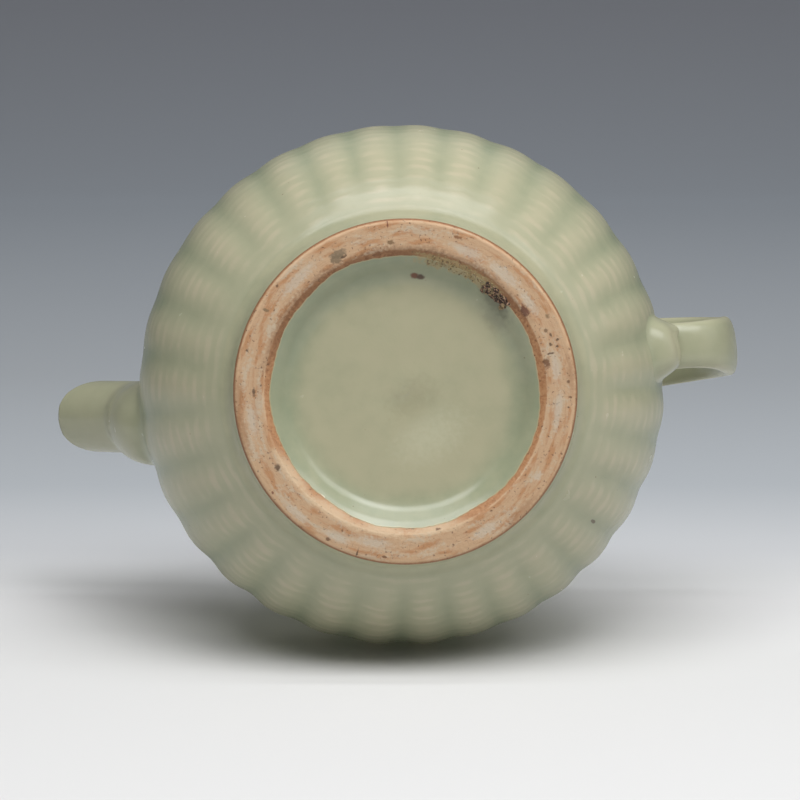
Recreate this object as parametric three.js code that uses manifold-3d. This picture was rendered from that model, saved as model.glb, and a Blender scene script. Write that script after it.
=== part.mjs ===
// Ribbed celadon teapot with a bare foot ring, a curved spout, a strap handle and a lid
// Millimetres, +Z up, the foot stands on z = 0, the spout points to -X and the handle to +X
import * as THREE from 'three';
import { mergeVertices } from 'three/addons/utils/BufferGeometryUtils.js';
import Module from 'manifold-3d';

const wasm = await Module();
wasm.setup();

// Body: two bowls luted together at the belly, pressed into upright ribs outside
const bellyRadius = 65;
const bellyHeight = 44;
const bodyHeight = 82;
const bodyWall = 5;
const floorThickness = 6;
const ribCount = 31;
const ribDepth = 1;
const ribRunIn = 5;

// Foot ring: turned clay, bare where it stands
const footOuterRadius = 41.5;
const footWidth = 9.7;
const footHeight = 6;
const footFlare = 2.9;
const footBevel = 1.3;

// Neck and mouth
const mouthRadius = 22.5;
const neckWall = 5;
const neckHeight = 7;
const neckWaist = 1.2;
const rimRounding = 1;

// Lid
const lidOverhang = 1.6;
const lidEdgeThickness = 2.6;
const lidDomeRise = 8.5;
const lidThickness = 3.6;
const lidRibDepth = 0.7;
const flangeClearance = 0.8;
const flangeThickness = 3;
const flangeDepth = 7;
const knobRadius = 7.5;
const knobHeight = 13;
const knobSeatRadius = 5;
const ventRadius = 1.5;

// Spout: its centre line leaves the belly, climbs and leans out to a level mouth
const spoutReach = 25.6;
const spoutRootRise = 10;
const spoutMouthRise = 1;
const spoutRadius = 9.3;
const spoutWall = 3.6;
const spoutRootSwell = 1.2;
const spoutRootLength = 15;
const spoutRootAside = 3.5;
const spoutMouthAside = 1.4;

// Strainer holes through the body wall behind the spout
const strainerHoleRadius = 1.6;
const strainerRingRadius = 3.9;
const strainerHoleCount = 6;

// Handle: a flat strap from below the belly out, up and back to the shoulder
const handleReach = 21.6;
const handleLowerDrop = 5;
const handleUpperDrop = 7;
const handleTopRise = 6;
const strapLowerWidth = 11.4;
const strapBendWidth = 15;
const strapUpperWidth = 18.8;
const strapThickness = 5.2;
const strapLowerAside = -2;
const strapUpperAside = 1.2;
const strapCornerShare = 0.75;
const padRadius = 6;

// Clay joints are modelled as thin lines of this width
const joinGap = 0.3;
const lidSeatGap = 0.3;
const overrun = 4;

// Facets: columns round the ribbed skins are a multiple of the ribs
const ribColumns = ribCount * 4;
const plainColumns = 48;
const bodyRows = 7;
const innerRows = 6;

// Half-height of the ellipse that falls from the belly's radius to another one over some height
function curveReach(radius, height) {
  return height / Math.sqrt(1 - (radius / bellyRadius) ** 2);
}

const neckOuterRadius = mouthRadius + neckWall;
const footInnerRadius = footOuterRadius - footWidth;
const footSeatRadius = footOuterRadius + footFlare;
const lowerCurveDrop = curveReach(footSeatRadius, bellyHeight - footHeight);
const shoulderRise = curveReach(neckOuterRadius, bodyHeight - bellyHeight);
const rimTop = bodyHeight + neckHeight;
const spoutRootHeight = bellyHeight + spoutRootRise;
const spoutMouthHeight = rimTop + spoutMouthRise;
const handleLowerHeight = bellyHeight - handleLowerDrop;
const handleUpperHeight = bodyHeight - handleUpperDrop;
const handleTopHeight = bodyHeight + handleTopRise;
const innerRadius = bellyRadius - ribDepth - bodyWall;
const innerDrop = lowerCurveDrop - bodyWall;
const innerRise = shoulderRise - bodyWall;
const floorTop = footHeight + floorThickness;

// Radius of the body's outside over the rib crests at a height, grown outwards by some clearance
function outsideRadius(height, grow = 0) {
  const reach = (height < bellyHeight ? lowerCurveDrop : shoulderRise) + grow;
  const rise = (height - bellyHeight) / reach;
  return (bellyRadius + grow) * Math.sqrt(Math.max(0, 1 - rise ** 2));
}

// How much of the full depth the ribs have at a height: none at the foot and at the neck
function ribShare(height) {
  const fromFoot = THREE.MathUtils.smoothstep(height, footHeight, footHeight + ribRunIn);
  const fromNeck = THREE.MathUtils.smoothstep(bodyHeight - height, 0, ribRunIn);
  return fromFoot * fromNeck;
}

// Solid of a closed geometry, for joining and cutting
function toSolid(geometry) {
  const bare = geometry.clone();
  bare.deleteAttribute('normal');
  bare.deleteAttribute('uv');
  const merged = mergeVertices(bare);
  const corners = merged.index.array;
  const triVerts = [];
  for (let i = 0; i < corners.length; i += 3) {
    const triangle = [corners[i], corners[i + 1], corners[i + 2]];
    if (new Set(triangle).size === 3) triVerts.push(...triangle);
  }
  return new wasm.Manifold(new wasm.Mesh({
    numProp: 3,
    vertProperties: new Float32Array(merged.attributes.position.array),
    triVerts: new Uint32Array(triVerts),
  }));
}

// Geometry of a solid
function toGeometry(solid) {
  const { vertProperties, triVerts } = solid.getMesh();
  const geometry = new THREE.BufferGeometry();
  geometry.setAttribute('position', new THREE.BufferAttribute(vertProperties, 3));
  geometry.setIndex(new THREE.BufferAttribute(triVerts, 1));
  geometry.computeVertexNormals();
  return geometry;
}

// Turned piece: a profile of [radius, height] points, up the outside, spun about Z from +X on
function turned(profile, columns = plainColumns) {
  const points = profile.map(([radius, height]) => new THREE.Vector2(radius, height));
  return new THREE.LatheGeometry(points, columns, Math.PI / 2).rotateX(Math.PI / 2);
}

// Press rounded upright ribs into a turned skin: a crest lies on +X and a groove on -X
function pressRibs(geometry, depthAt) {
  const place = geometry.attributes.position;
  for (let i = 0; i < place.count; i += 1) {
    const radius = Math.hypot(place.getX(i), place.getY(i));
    const angle = Math.atan2(place.getY(i), place.getX(i));
    const groove = 1 - Math.abs(Math.cos(ribCount * angle / 2));
    const pressed = radius === 0 ? 1 : 1 - depthAt(radius, place.getZ(i)) * groove / radius;
    place.setX(i, place.getX(i) * pressed);
    place.setY(i, place.getY(i) * pressed);
  }
  return geometry;
}

// Ribbed solid of the body's outside between two heights
function bodySolid(low, high, rows, grow = 0) {
  const profile = [[0, low]];
  for (let row = 0; row <= rows; row += 1) {
    const height = bellyRowHeight(low, high, row / rows);
    profile.push([outsideRadius(height, grow), height]);
  }
  profile.push([0, high]);
  const skin = turned(profile, ribColumns);
  return toSolid(pressRibs(skin, (radius, height) => ribDepth * ribShare(height)));
}

// Rows are spaced by even turns of the outline, closer where it bends fast
function bellyRowHeight(low, high, share) {
  const turn = (height) => {
    const reach = height < bellyHeight ? lowerCurveDrop : shoulderRise;
    return Math.asin(THREE.MathUtils.clamp((height - bellyHeight) / reach, -1, 1));
  };
  const angle = THREE.MathUtils.lerp(turn(low), turn(high), share);
  const reach = angle < 0 ? lowerCurveDrop : shoulderRise;
  return bellyHeight + reach * Math.sin(angle);
}

// Curved wall of the inside from one height to another, as [radius, height] points
function insideCurve(low, high, reach) {
  const points = [];
  for (let row = 0; row <= innerRows; row += 1) {
    const from = Math.asin((low - bellyHeight) / reach);
    const to = Math.asin((high - bellyHeight) / reach);
    const angle = THREE.MathUtils.lerp(from, to, row / innerRows);
    points.push([innerRadius * Math.cos(angle), bellyHeight + reach * Math.sin(angle)]);
  }
  return points;
}

// Closed solid along a curve: at each share of the way it has the half-width across (along Y)
// and the half-thickness that sizesAt gives, and a corner share below 1 squares its section
function bentSolid(curve, sizesAt, sides, steps, cornerShare = 1) {
  const geometry = new THREE.CylinderGeometry(1, 1, 1, sides, steps);
  const place = geometry.attributes.position;
  const square = (value) => Math.sign(value) * Math.abs(value) ** cornerShare;
  for (let i = 0; i < place.count; i += 1) {
    const share = THREE.MathUtils.clamp(place.getY(i) + 1 / 2, 0, 1);
    const along = curve.getTangentAt(share);
    const across = new THREE.Vector3(0, 1, 0).projectOnPlane(along).normalize();
    const outward = new THREE.Vector3().crossVectors(along, across);
    const [halfWidth, halfThickness] = sizesAt(share);
    const spot = curve.getPointAt(share)
      .addScaledVector(outward, square(place.getX(i)) * halfThickness)
      .addScaledVector(across, square(place.getZ(i)) * halfWidth);
    place.setXYZ(i, spot.x, spot.y, spot.z);
  }
  return toSolid(geometry);
}

// Value read off a list of [share, value] pairs, in order, eased between them
function eased(pairs, share) {
  const next = pairs.findIndex(([end]) => end >= share);
  if (next <= 0) return pairs[0][1];
  const [start, low] = pairs[next - 1];
  const [end, high] = pairs[next];
  return THREE.MathUtils.lerp(low, high, THREE.MathUtils.smoothstep(share, start, end));
}

// A named piece with its own material
function piece(name, geometry, color, roughness) {
  const material = new THREE.MeshStandardMaterial({ color, roughness, metalness: 0 });
  const mesh = new THREE.Mesh(geometry, material);
  mesh.name = name;
  return mesh;
}

const glazeColour = 0xa3ad93;
const glazeRoughness = 0.3;
const clayColour = 0xb98a68;
const clayRoughness = 0.85;

// The body grown by the joint's width, to cut what is luted on to it
const bodyCutter = bodySolid(footHeight, bodyHeight, bodyRows * 2, joinGap);

// Turned foot ring
function footRing() {
  const innerTop = footInnerRadius - footBevel;
  return turned([
    [innerTop, footHeight],
    [footInnerRadius, footBevel],
    [footInnerRadius + footBevel, 0],
    [footOuterRadius - footBevel, 0],
    [footOuterRadius, footBevel],
    [footSeatRadius, footHeight],
    [innerTop, footHeight],
  ]);
}

// Lower half of the body, with the floor
function lowerBowl() {
  const top = bellyHeight + overrun;
  const hollow = toSolid(turned([
    [0, floorTop],
    ...insideCurve(floorTop, bellyHeight, innerDrop),
    [innerRadius, top],
    [0, top],
  ]));
  return toGeometry(bodySolid(footHeight, bellyHeight, bodyRows).subtract(hollow));
}

// Upper half of the body, up to the neck, with the strainer holes behind the spout
function upperBowl() {
  const mouthJoin = bellyHeight + innerRise * Math.sqrt(1 - (mouthRadius / innerRadius) ** 2);
  const below = bellyHeight - overrun;
  const hollow = toSolid(turned([
    [0, below],
    [innerRadius, below],
    ...insideCurve(bellyHeight, mouthJoin, innerRise),
    [mouthRadius, bodyHeight + overrun],
    [0, bodyHeight + overrun],
  ]));
  let shell = bodySolid(bellyHeight, bodyHeight, bodyRows).subtract(hollow);
  const drill = new THREE.CylinderGeometry(
    strainerHoleRadius,
    strainerHoleRadius,
    bellyRadius,
    8,
  ).rotateZ(Math.PI / 2);
  for (let hole = 0; hole <= strainerHoleCount; hole += 1) {
    const angle = 2 * Math.PI * hole / strainerHoleCount;
    const ring = hole === strainerHoleCount ? 0 : strainerRingRadius;
    const sideways = spoutRootAside + ring * Math.cos(angle);
    const upwards = spoutRootHeight + ring * Math.sin(angle);
    shell = shell.subtract(toSolid(drill.clone().translate(-bellyRadius, sideways, upwards)));
  }
  return toGeometry(shell);
}

// Short neck with a flat rim
function neckCollar() {
  const waist = neckOuterRadius - neckWaist;
  return turned([
    [mouthRadius, bodyHeight],
    [neckOuterRadius, bodyHeight],
    [waist, bodyHeight + neckHeight / 3],
    [waist, bodyHeight + neckHeight / 2],
    [neckOuterRadius, rimTop - rimRounding],
    [neckOuterRadius - rimRounding, rimTop],
    [mouthRadius + rimRounding, rimTop],
    [mouthRadius, rimTop - rimRounding],
    [mouthRadius, bodyHeight],
  ]);
}

const lidBase = rimTop + lidSeatGap;
const lidRadius = neckOuterRadius + lidOverhang;
const flangeRadius = mouthRadius - flangeClearance;
const flangeInnerRadius = flangeRadius - flangeThickness;
const knobSeat = lidBase + lidEdgeThickness + lidDomeRise;

// Low ribbed dome of the lid, flat where it rests and hollow inside the flange
function lidCap() {
  const domeShares = [[1, 0], [0.93, 0.2], [0.78, 0.5], [0.56, 0.78], [0.34, 0.95]];
  const dome = domeShares.map(([out, up]) => [
    lidRadius * out,
    lidBase + lidEdgeThickness + lidDomeRise * up,
  ]);
  const cap = toSolid(pressRibs(turned([
    [0, lidBase],
    [lidRadius, lidBase],
    ...dome,
    [knobSeatRadius, knobSeat],
    [0, knobSeat],
  ], ribCount * 2), (radius) => (
    lidRibDepth * THREE.MathUtils.smoothstep(radius, knobSeatRadius, lidRadius / 2)
  )));
  const hollowTop = knobSeat - lidThickness;
  const hollowShares = [[1, 0.25], [0.85, 0.6], [0.6, 0.9]];
  const hollow = toSolid(turned([
    [0, lidBase - overrun],
    [flangeInnerRadius, lidBase - overrun],
    ...hollowShares.map(([out, up]) => [
      flangeInnerRadius * out,
      lidBase + (hollowTop - lidBase) * up,
    ]),
    [0, hollowTop],
  ], plainColumns / 2));
  const vent = toSolid(new THREE.CylinderGeometry(ventRadius, ventRadius, rimTop, 8)
    .rotateX(Math.PI / 2)
    .translate((knobRadius + flangeInnerRadius) / 2, 0, rimTop));
  return toGeometry(cap.subtract(hollow).subtract(vent));
}

// Ring under the lid that stands in the mouth
function lidFlange() {
  const foot = lidBase - flangeDepth;
  return turned([
    [flangeInnerRadius, foot],
    [flangeRadius - rimRounding, foot],
    [flangeRadius, foot + rimRounding],
    [flangeRadius, lidBase],
    [flangeInnerRadius, lidBase],
    [flangeInnerRadius, foot],
  ]);
}

// Bud knob
function lidKnob() {
  const budShares = [[0.6, 0.18], [0.9, 0.36], [1, 0.52], [0.86, 0.72], [0.5, 0.88], [0.2, 0.97]];
  return turned([
    [0, knobSeat],
    [knobSeatRadius, knobSeat],
    ...budShares.map(([out, up]) => [knobRadius * out, knobSeat + knobHeight * up]),
    [0, knobSeat + knobHeight],
  ], plainColumns / 3);
}

// Centre line of the spout, from inside the wall to above its mouth
function spoutLine() {
  const start = outsideRadius(spoutRootHeight) - spoutRadius;
  const tip = bellyRadius + spoutReach - spoutRadius;
  const climb = spoutMouthHeight - spoutRootHeight;
  const lineShares = [
    [0, -0.1], [0.24, -0.05], [0.36, 0.1], [0.41, 0.33], [0.52, 0.61], [0.75, 0.85], [1.01, 1.11],
  ];
  return new THREE.CatmullRomCurve3(lineShares.map(([out, up]) => new THREE.Vector3(
    -THREE.MathUtils.lerp(start, tip, out),
    THREE.MathUtils.lerp(spoutRootAside, spoutMouthAside, up),
    spoutRootHeight + climb * up,
  )));
}

const spoutCurve = spoutLine();
const spoutLength = spoutCurve.getLength();

// Radius of the spout's outside: swollen at its root
function spoutOutside(share) {
  const rootShare = spoutRootLength / spoutLength;
  return eased([
    [0, spoutRadius + spoutRootSwell],
    [rootShare, spoutRadius + spoutRootSwell],
    [2 * rootShare, spoutRadius],
    [1, spoutRadius],
  ], share);
}

// The spout with its bore, trimmed to the body and level at its mouth
function spout() {
  const outer = bentSolid(spoutCurve, (share) => {
    const radius = spoutOutside(share);
    return [radius, radius];
  }, 18, 18);
  const boreRadius = spoutRadius - spoutWall;
  const bore = bentSolid(spoutCurve, () => [boreRadius, boreRadius], 12, 18);
  const room = 2 * spoutMouthHeight;
  const above = toSolid(new THREE.BoxGeometry(room, room, spoutMouthHeight)
    .translate(-bellyRadius, 0, spoutMouthHeight * 3 / 2));
  return toGeometry(outer.subtract(bore).subtract(above).subtract(bodyCutter));
}

// Centre line of the strap, its ends inside the body's wall
function handleLine() {
  const lowerRoot = outsideRadius(handleLowerHeight) - bodyWall;
  const upperRoot = outsideRadius(handleUpperHeight) - bodyWall;
  const far = bellyRadius + handleReach - strapThickness / 2;
  const rise = handleTopHeight - handleLowerHeight;
  const lowerShares = [[0, 0, 0], [0.38, 0.005, 0], [0.78, 0.09, 0], [0.985, 0.3, 0.3], [0.99, 0.56, 0.6]];
  const upperShares = [[0.86, 0.82, 0.85], [0.58, 0.985, 1], [0.31, 0.97, 1]];
  const last = new THREE.Vector3(upperRoot, strapUpperAside, handleUpperHeight - bodyWall);
  const place = (root) => ([out, up, aside]) => new THREE.Vector3(
    THREE.MathUtils.lerp(root, far, out),
    THREE.MathUtils.lerp(strapLowerAside, strapUpperAside, aside),
    handleLowerHeight + rise * up,
  );
  return new THREE.CatmullRomCurve3([
    ...lowerShares.map(place(lowerRoot)),
    ...upperShares.map(place(upperRoot)),
    last,
  ]);
}

const handleCurve = handleLine();

// Strap of the handle, with its section grown by some clearance and not yet trimmed
function strapSolid(grow = 0) {
  return bentSolid(handleCurve, (share) => [
    eased([
      [0, strapLowerWidth / 2],
      [0.22, strapLowerWidth / 2],
      [0.45, strapBendWidth / 2],
      [0.8, strapUpperWidth / 2],
      [1, strapUpperWidth / 2],
    ], share) + grow,
    strapThickness / 2 + grow,
  ], 12, 26, strapCornerShare);
}

// Pressed pad under the strap's lower end
function handlePad() {
  const room = 4 * padRadius;
  const above = toSolid(new THREE.BoxGeometry(room, room, room)
    .translate(bellyRadius, strapLowerAside, handleLowerHeight + room / 2));
  const pad = new THREE.SphereGeometry(padRadius, 16, 12)
    .translate(bellyRadius, strapLowerAside, handleLowerHeight - strapThickness / 2);
  const trimmed = toSolid(pad).subtract(above).subtract(strapSolid(joinGap));
  return toGeometry(trimmed.subtract(bodyCutter));
}

const teapot = new THREE.Group();
teapot.name = 'celadon_teapot';
teapot.add(
  piece('foot_ring', footRing(), clayColour, clayRoughness),
  piece('lower_bowl', lowerBowl(), glazeColour, glazeRoughness),
  piece('upper_bowl', upperBowl(), glazeColour, glazeRoughness),
  piece('neck_collar', neckCollar(), glazeColour, glazeRoughness),
  piece('spout', spout(), glazeColour, glazeRoughness),
  piece('handle_strap', toGeometry(strapSolid().subtract(bodyCutter)), glazeColour, glazeRoughness),
  piece('handle_pad', handlePad(), glazeColour, glazeRoughness),
  piece('lid_cap', lidCap(), glazeColour, glazeRoughness),
  piece('lid_flange', lidFlange(), clayColour, clayRoughness),
  piece('lid_knob', lidKnob(), glazeColour, glazeRoughness),
);

export default teapot;
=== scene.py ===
"""Ribbed celadon teapot with a bare foot ring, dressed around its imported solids.

The pot stands upright on z = 0 with its spout towards -X and its handle towards +X. The photograph
shows it lying on its side with its foot to the camera, so the camera looks up +Z from below it.
Shapes are worked out in millimetres and put into the meshes in metres.
"""

import logging
from dataclasses import dataclass, field
from enum import Enum
from typing import Dict, Optional, Sequence, Tuple, Union

import bpy
import numpy as np
from mathutils import Matrix, Vector

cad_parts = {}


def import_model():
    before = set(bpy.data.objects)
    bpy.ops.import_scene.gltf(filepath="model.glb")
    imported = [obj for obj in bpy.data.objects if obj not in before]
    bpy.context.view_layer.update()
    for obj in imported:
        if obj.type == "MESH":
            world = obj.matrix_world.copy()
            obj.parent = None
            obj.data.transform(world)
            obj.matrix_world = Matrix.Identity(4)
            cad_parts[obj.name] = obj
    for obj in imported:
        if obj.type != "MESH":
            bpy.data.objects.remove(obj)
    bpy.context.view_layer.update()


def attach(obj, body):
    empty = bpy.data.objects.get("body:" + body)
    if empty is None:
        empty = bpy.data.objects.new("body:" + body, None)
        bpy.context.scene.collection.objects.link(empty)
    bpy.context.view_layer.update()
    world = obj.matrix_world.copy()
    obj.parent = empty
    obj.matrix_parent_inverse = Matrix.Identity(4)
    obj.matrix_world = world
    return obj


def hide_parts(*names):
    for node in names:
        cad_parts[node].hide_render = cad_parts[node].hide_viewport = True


log = logging.getLogger("teapot")

MM = 0.001
Pair = Tuple[float, float]
Triple = Tuple[float, float, float]
Colour = Tuple[int, int, int]
Band = Tuple[Pair, Pair]
Socket = bpy.types.NodeSocket
Shader = bpy.types.ShaderNode


# Curves and small sums on arrays


def eased(low: float, high: float, value: np.ndarray) -> np.ndarray:
    """A smooth step: 0 below low, 1 above high, and 3t^2 - 2t^3 of the share t between them.

    Args:
        low: where the step starts.
        high: where it ends.
        value: the values to read it at.

    Returns:
        The step at each value.
    """
    share = np.clip((np.asarray(value, float) - low) / (high - low), 0.0, 1.0)
    return share * share * (3.0 - 2.0 * share)


def eased_list(pairs: Sequence[Pair], value: np.ndarray) -> np.ndarray:
    """Values read off a list of (place, value) pairs in order, with a smooth step between each two.

    Args:
        pairs: the places and their values.
        value: where to read them.

    Returns:
        The first value plus every step that has been passed.
    """
    total = np.full(np.shape(value), pairs[0][1], float)
    for (start, low), (end, high) in zip(pairs, pairs[1:]):
        total += (high - low) * eased(start, end, value)
    return total


def bell(centre: float, width: float, value: np.ndarray) -> np.ndarray:
    """A soft bump of height 1: exp(-(distance from the centre / width)^2)."""
    return np.exp(-(((value - centre) / width) ** 2))


def squared(wave: np.ndarray, power: float) -> np.ndarray:
    """A wave made squarer: its size raised to a power below 1, with its sign kept."""
    return np.sign(wave) * np.abs(wave) ** power


def round_way(count: int) -> np.ndarray:
    """Even angles once round, the last one step short of the first."""
    return np.linspace(0, 2 * np.pi, count, endpoint=False)


def length_along(line: np.ndarray) -> np.ndarray:
    """How far along a line of points each one lies."""
    steps = np.linalg.norm(np.diff(line, axis=0), axis=1)
    return np.concatenate([[0.0], np.cumsum(steps)])


def flowing(points: Sequence[Sequence[float]], per_span: int = 24) -> np.ndarray:
    """A smooth line through points: centripetal Catmull-Rom, as the part's own centre lines are.

    Each span is the cubic between its two points whose end slopes come from the neighbours, weighed
    by the square root of the distances; the line's ends continue straight.

    Args:
        points: the points in order.
        per_span: samples in each span.

    Returns:
        The samples, the last point included.
    """
    knots = np.asarray(points, float)
    knots = np.vstack([2 * knots[0] - knots[1], knots, 2 * knots[-1] - knots[-2]])
    a, b, c, d = knots[:-3], knots[1:-2], knots[2:-1], knots[3:]
    gap = [np.sqrt(np.linalg.norm(q - p, axis=1))[:, None] for p, q in ((a, b), (b, c), (c, d))]
    slope_b = ((b - a) / gap[0] - (c - a) / (gap[0] + gap[1]) + (c - b) / gap[1]) * gap[1]
    slope_c = ((c - b) / gap[1] - (d - b) / (gap[1] + gap[2]) + (d - c) / gap[2]) * gap[1]
    t = (np.arange(per_span) / per_span)[None, :, None]
    b, c, slope_b, slope_c = (v[:, None, :] for v in (b, c, slope_b, slope_c))
    square = -3 * b + 3 * c - 2 * slope_b - slope_c
    cube = 2 * b - 2 * c + slope_b + slope_c
    line = (b + slope_b * t + square * t**2 + cube * t**3).reshape(-1, knots.shape[1])
    return np.vstack([line, knots[-2]])


def even(line: np.ndarray, spacing: float) -> np.ndarray:
    """The same line with its points evenly spaced along its length.

    Args:
        line: points in order.
        spacing: the distance wanted between points.

    Returns:
        Points at even steps, both ends kept.
    """
    along = length_along(line)
    steps = np.linspace(0.0, along[-1], max(2, int(round(along[-1] / spacing)) + 1))
    return np.stack([np.interp(steps, along, axis) for axis in line.T], axis=1)


def read_rows(grid: np.ndarray, place: np.ndarray) -> np.ndarray:
    """Points of a grid at fractional rows, each column read at its own places.

    Between two rows the points lie on a straight line.

    Args:
        grid: points, (rows, columns, 3).
        place: fractional row numbers, (places, columns).

    Returns:
        Points, (places, columns, 3).
    """
    place = np.clip(place, 0.0, len(grid) - 1.001)
    low = place.astype(int)
    share = (place - low)[..., None]
    column = np.arange(grid.shape[1])[None, :]
    return grid[low, column] * (1.0 - share) + grid[low + 1, column] * share


def last_rise(height: np.ndarray) -> np.ndarray:
    """The fractional row where each column of values last goes from below zero to above it.

    Args:
        height: values, (rows, columns).

    Returns:
        One fractional row for each column.
    """
    below = height < 0.0
    last = len(height) - 1 - np.argmax(below[::-1], axis=0)
    last = np.clip(last, 0, len(height) - 2)
    column = np.arange(height.shape[1])
    low, high = height[last, column], height[last + 1, column]
    return last + np.clip(-low / np.maximum(high - low, 1e-9), 0.0, 1.0)


def bent(start: np.ndarray, middle: np.ndarray, end: np.ndarray, steps: int) -> np.ndarray:
    """Rows of points on the quadratic curve from start to end whose handle is the middle.

    Args:
        start: points, (columns, 3).
        middle: the points that the curve is drawn towards.
        end: where it ends.
        steps: rows, both ends included.

    Returns:
        Points, (steps, columns, 3).
    """
    t = np.linspace(0.0, 1.0, steps)[:, None, None]
    return (1 - t) ** 2 * start + 2 * t * (1 - t) * middle + t**2 * end


def unit(vectors: np.ndarray) -> np.ndarray:
    """The vectors at length one."""
    return vectors / np.maximum(np.linalg.norm(vectors, axis=-1, keepdims=True), 1e-12)


def leaning(vectors: np.ndarray, way: np.ndarray) -> np.ndarray:
    """How far each vector reaches along its own way: their dot products."""
    return np.einsum("ij,ij->i", vectors, way)


# Meshes


@dataclass
class Skin:
    """A closed skin on a grid of rows and columns: columns run round, rows run along.

    Attributes:
        points: places in millimetres, (rows, columns, 3).
        layers: named numbers for the finish, each (rows, columns).
        along: how far along the skin each row is, for the pattern's second coordinate.
        turns: the pattern's first coordinate after one turn.
        ring: the last row joins the first, as on a tube with a bore; otherwise both ends are closed
            with one point.
        creases: rows whose edge is sharp.
        normals: directions that the shading takes at some rows, zero elsewhere.
    """

    points: np.ndarray
    layers: dict = field(default_factory=dict)
    along: Optional[np.ndarray] = None
    turns: float = 1.0
    ring: bool = False
    creases: Tuple[int, ...] = ()
    normals: Optional[np.ndarray] = None

    def _faces(self) -> Tuple[np.ndarray, np.ndarray, np.ndarray, np.ndarray]:
        """Corner numbers of the four-sided and the three-sided faces, with their pattern places.

        Returns:
            Quads, (n, 4); their pattern places, (n, 4, 2); triangles, (m, 3); theirs, (m, 3, 2).
        """
        rows, columns = self.points.shape[:2]
        number = np.arange(rows * columns).reshape(rows, columns)
        after = np.roll(number, -1, axis=1)
        along = np.arange(rows, dtype=float) if self.along is None else self.along
        u = np.broadcast_to(np.arange(columns) * self.turns / columns, (rows, columns))
        v = np.broadcast_to(along[:, None], (rows, columns))
        step = self.turns / columns
        here = np.stack([u, v], axis=-1)
        beyond = np.stack([u + step, v], axis=-1)
        if self.ring:
            pick, follow = slice(None), lambda grid: np.roll(grid, -1, axis=0)
        else:
            pick, follow = slice(0, rows - 1), lambda grid: grid[1:]
        corners = (number[pick], after[pick], follow(after), follow(number))
        quads = np.stack(corners, axis=-1).reshape(-1, 4)
        places = (here[pick], beyond[pick], follow(beyond), follow(here))
        quad_uv = np.stack(places, axis=2).reshape(-1, 4, 2)
        if self.ring:
            return quads, quad_uv, np.zeros((0, 3), int), np.zeros((0, 3, 2))
        first, last = rows * columns, rows * columns + 1
        triangles = np.concatenate([
            np.stack([np.full(columns, first), after[0], number[0]], axis=-1),
            np.stack([np.full(columns, last), number[-1], after[-1]], axis=-1),
        ])
        triangle_uv = np.concatenate([
            np.stack([here[0] + (step / 2, 0), beyond[0], here[0]], axis=1),
            np.stack([here[-1] + (step / 2, 0), here[-1], beyond[-1]], axis=1),
        ])
        return quads, quad_uv, triangles, triangle_uv

    def build(self, name: str) -> bpy.types.Object:
        """Makes the mesh, its faces turned outwards, and links its object.

        The volume under the faces, a sixth of the sum of a . (b x c), is negative where they point
        inwards, and then every face's corners are reversed.

        Args:
            name: the object's name.

        Returns:
            The object, at the origin, its place in its mesh.
        """
        rows, columns = self.points.shape[:2]
        vertices = self.points.reshape(-1, 3)
        if not self.ring:
            ends = np.stack([self.points[0].mean(axis=0), self.points[-1].mean(axis=0)])
            vertices = np.vstack([vertices, ends])
        quads, quad_uv, triangles, triangle_uv = self._faces()
        every = np.concatenate([quads[:, [0, 1, 2]], quads[:, [0, 2, 3]], triangles])
        a, b, c = (vertices[every[:, i]] for i in range(3))
        if np.einsum("ij,ij->", a, np.cross(b, c)) < 0.0:
            quads, quad_uv = quads[:, ::-1], quad_uv[:, ::-1]
            triangles, triangle_uv = triangles[:, ::-1], triangle_uv[:, ::-1]
        mesh = bpy.data.meshes.new(name)
        mesh.vertices.add(len(vertices))
        mesh.vertices.foreach_set("co", (vertices * MM).astype(np.float32).ravel())
        corners = np.concatenate([quads.ravel(), triangles.ravel()])
        starts = np.concatenate([
            np.arange(len(quads)) * 4,
            len(quads) * 4 + np.arange(len(triangles)) * 3,
        ])
        mesh.loops.add(len(corners))
        mesh.loops.foreach_set("vertex_index", corners.astype(np.int32))
        mesh.polygons.add(len(starts))
        mesh.polygons.foreach_set("loop_start", starts.astype(np.int32))
        mesh.update(calc_edges=True)
        mesh.polygons.foreach_set("use_smooth", np.ones(len(starts), bool))
        pattern = mesh.uv_layers.new(name="turning")
        places = np.concatenate([quad_uv.reshape(-1, 2), triangle_uv.reshape(-1, 2)])
        pattern.data.foreach_set("uv", places.astype(np.float32).ravel())
        spare = len(vertices) - rows * columns
        for layer, values in self.layers.items():
            numbers = np.broadcast_to(values, (rows, columns)).ravel()
            ends = np.array([numbers[0], numbers[-1]])[:spare]
            attribute = mesh.attributes.new(layer, "FLOAT", "POINT")
            attribute.data.foreach_set("value", np.concatenate([numbers, ends]).astype(np.float32))
        if self.creases:
            pair = np.empty(len(mesh.edges) * 2, np.int32)
            mesh.edges.foreach_get("vertices", pair)
            row = pair.reshape(-1, 2) // columns
            sharp = (row[:, 0] == row[:, 1]) & np.isin(row[:, 0], self.creases)
            mesh.attributes.new("sharp_edge", "BOOLEAN", "EDGE").data.foreach_set("value", sharp)
        if self.normals is not None:
            facing = np.zeros((len(vertices), 3))
            facing[: rows * columns] = self.normals.reshape(-1, 3)
            mesh.normals_split_custom_set_from_vertices(facing.tolist())
        mesh.validate()
        return placed(name, mesh)


def placed(name: str, data: bpy.types.ID) -> bpy.types.Object:
    """A new object in the scene, at the origin, that shows a mesh, a lamp or a camera."""
    made = bpy.data.objects.new(name, data)
    bpy.context.scene.collection.objects.link(made)
    return made


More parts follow.
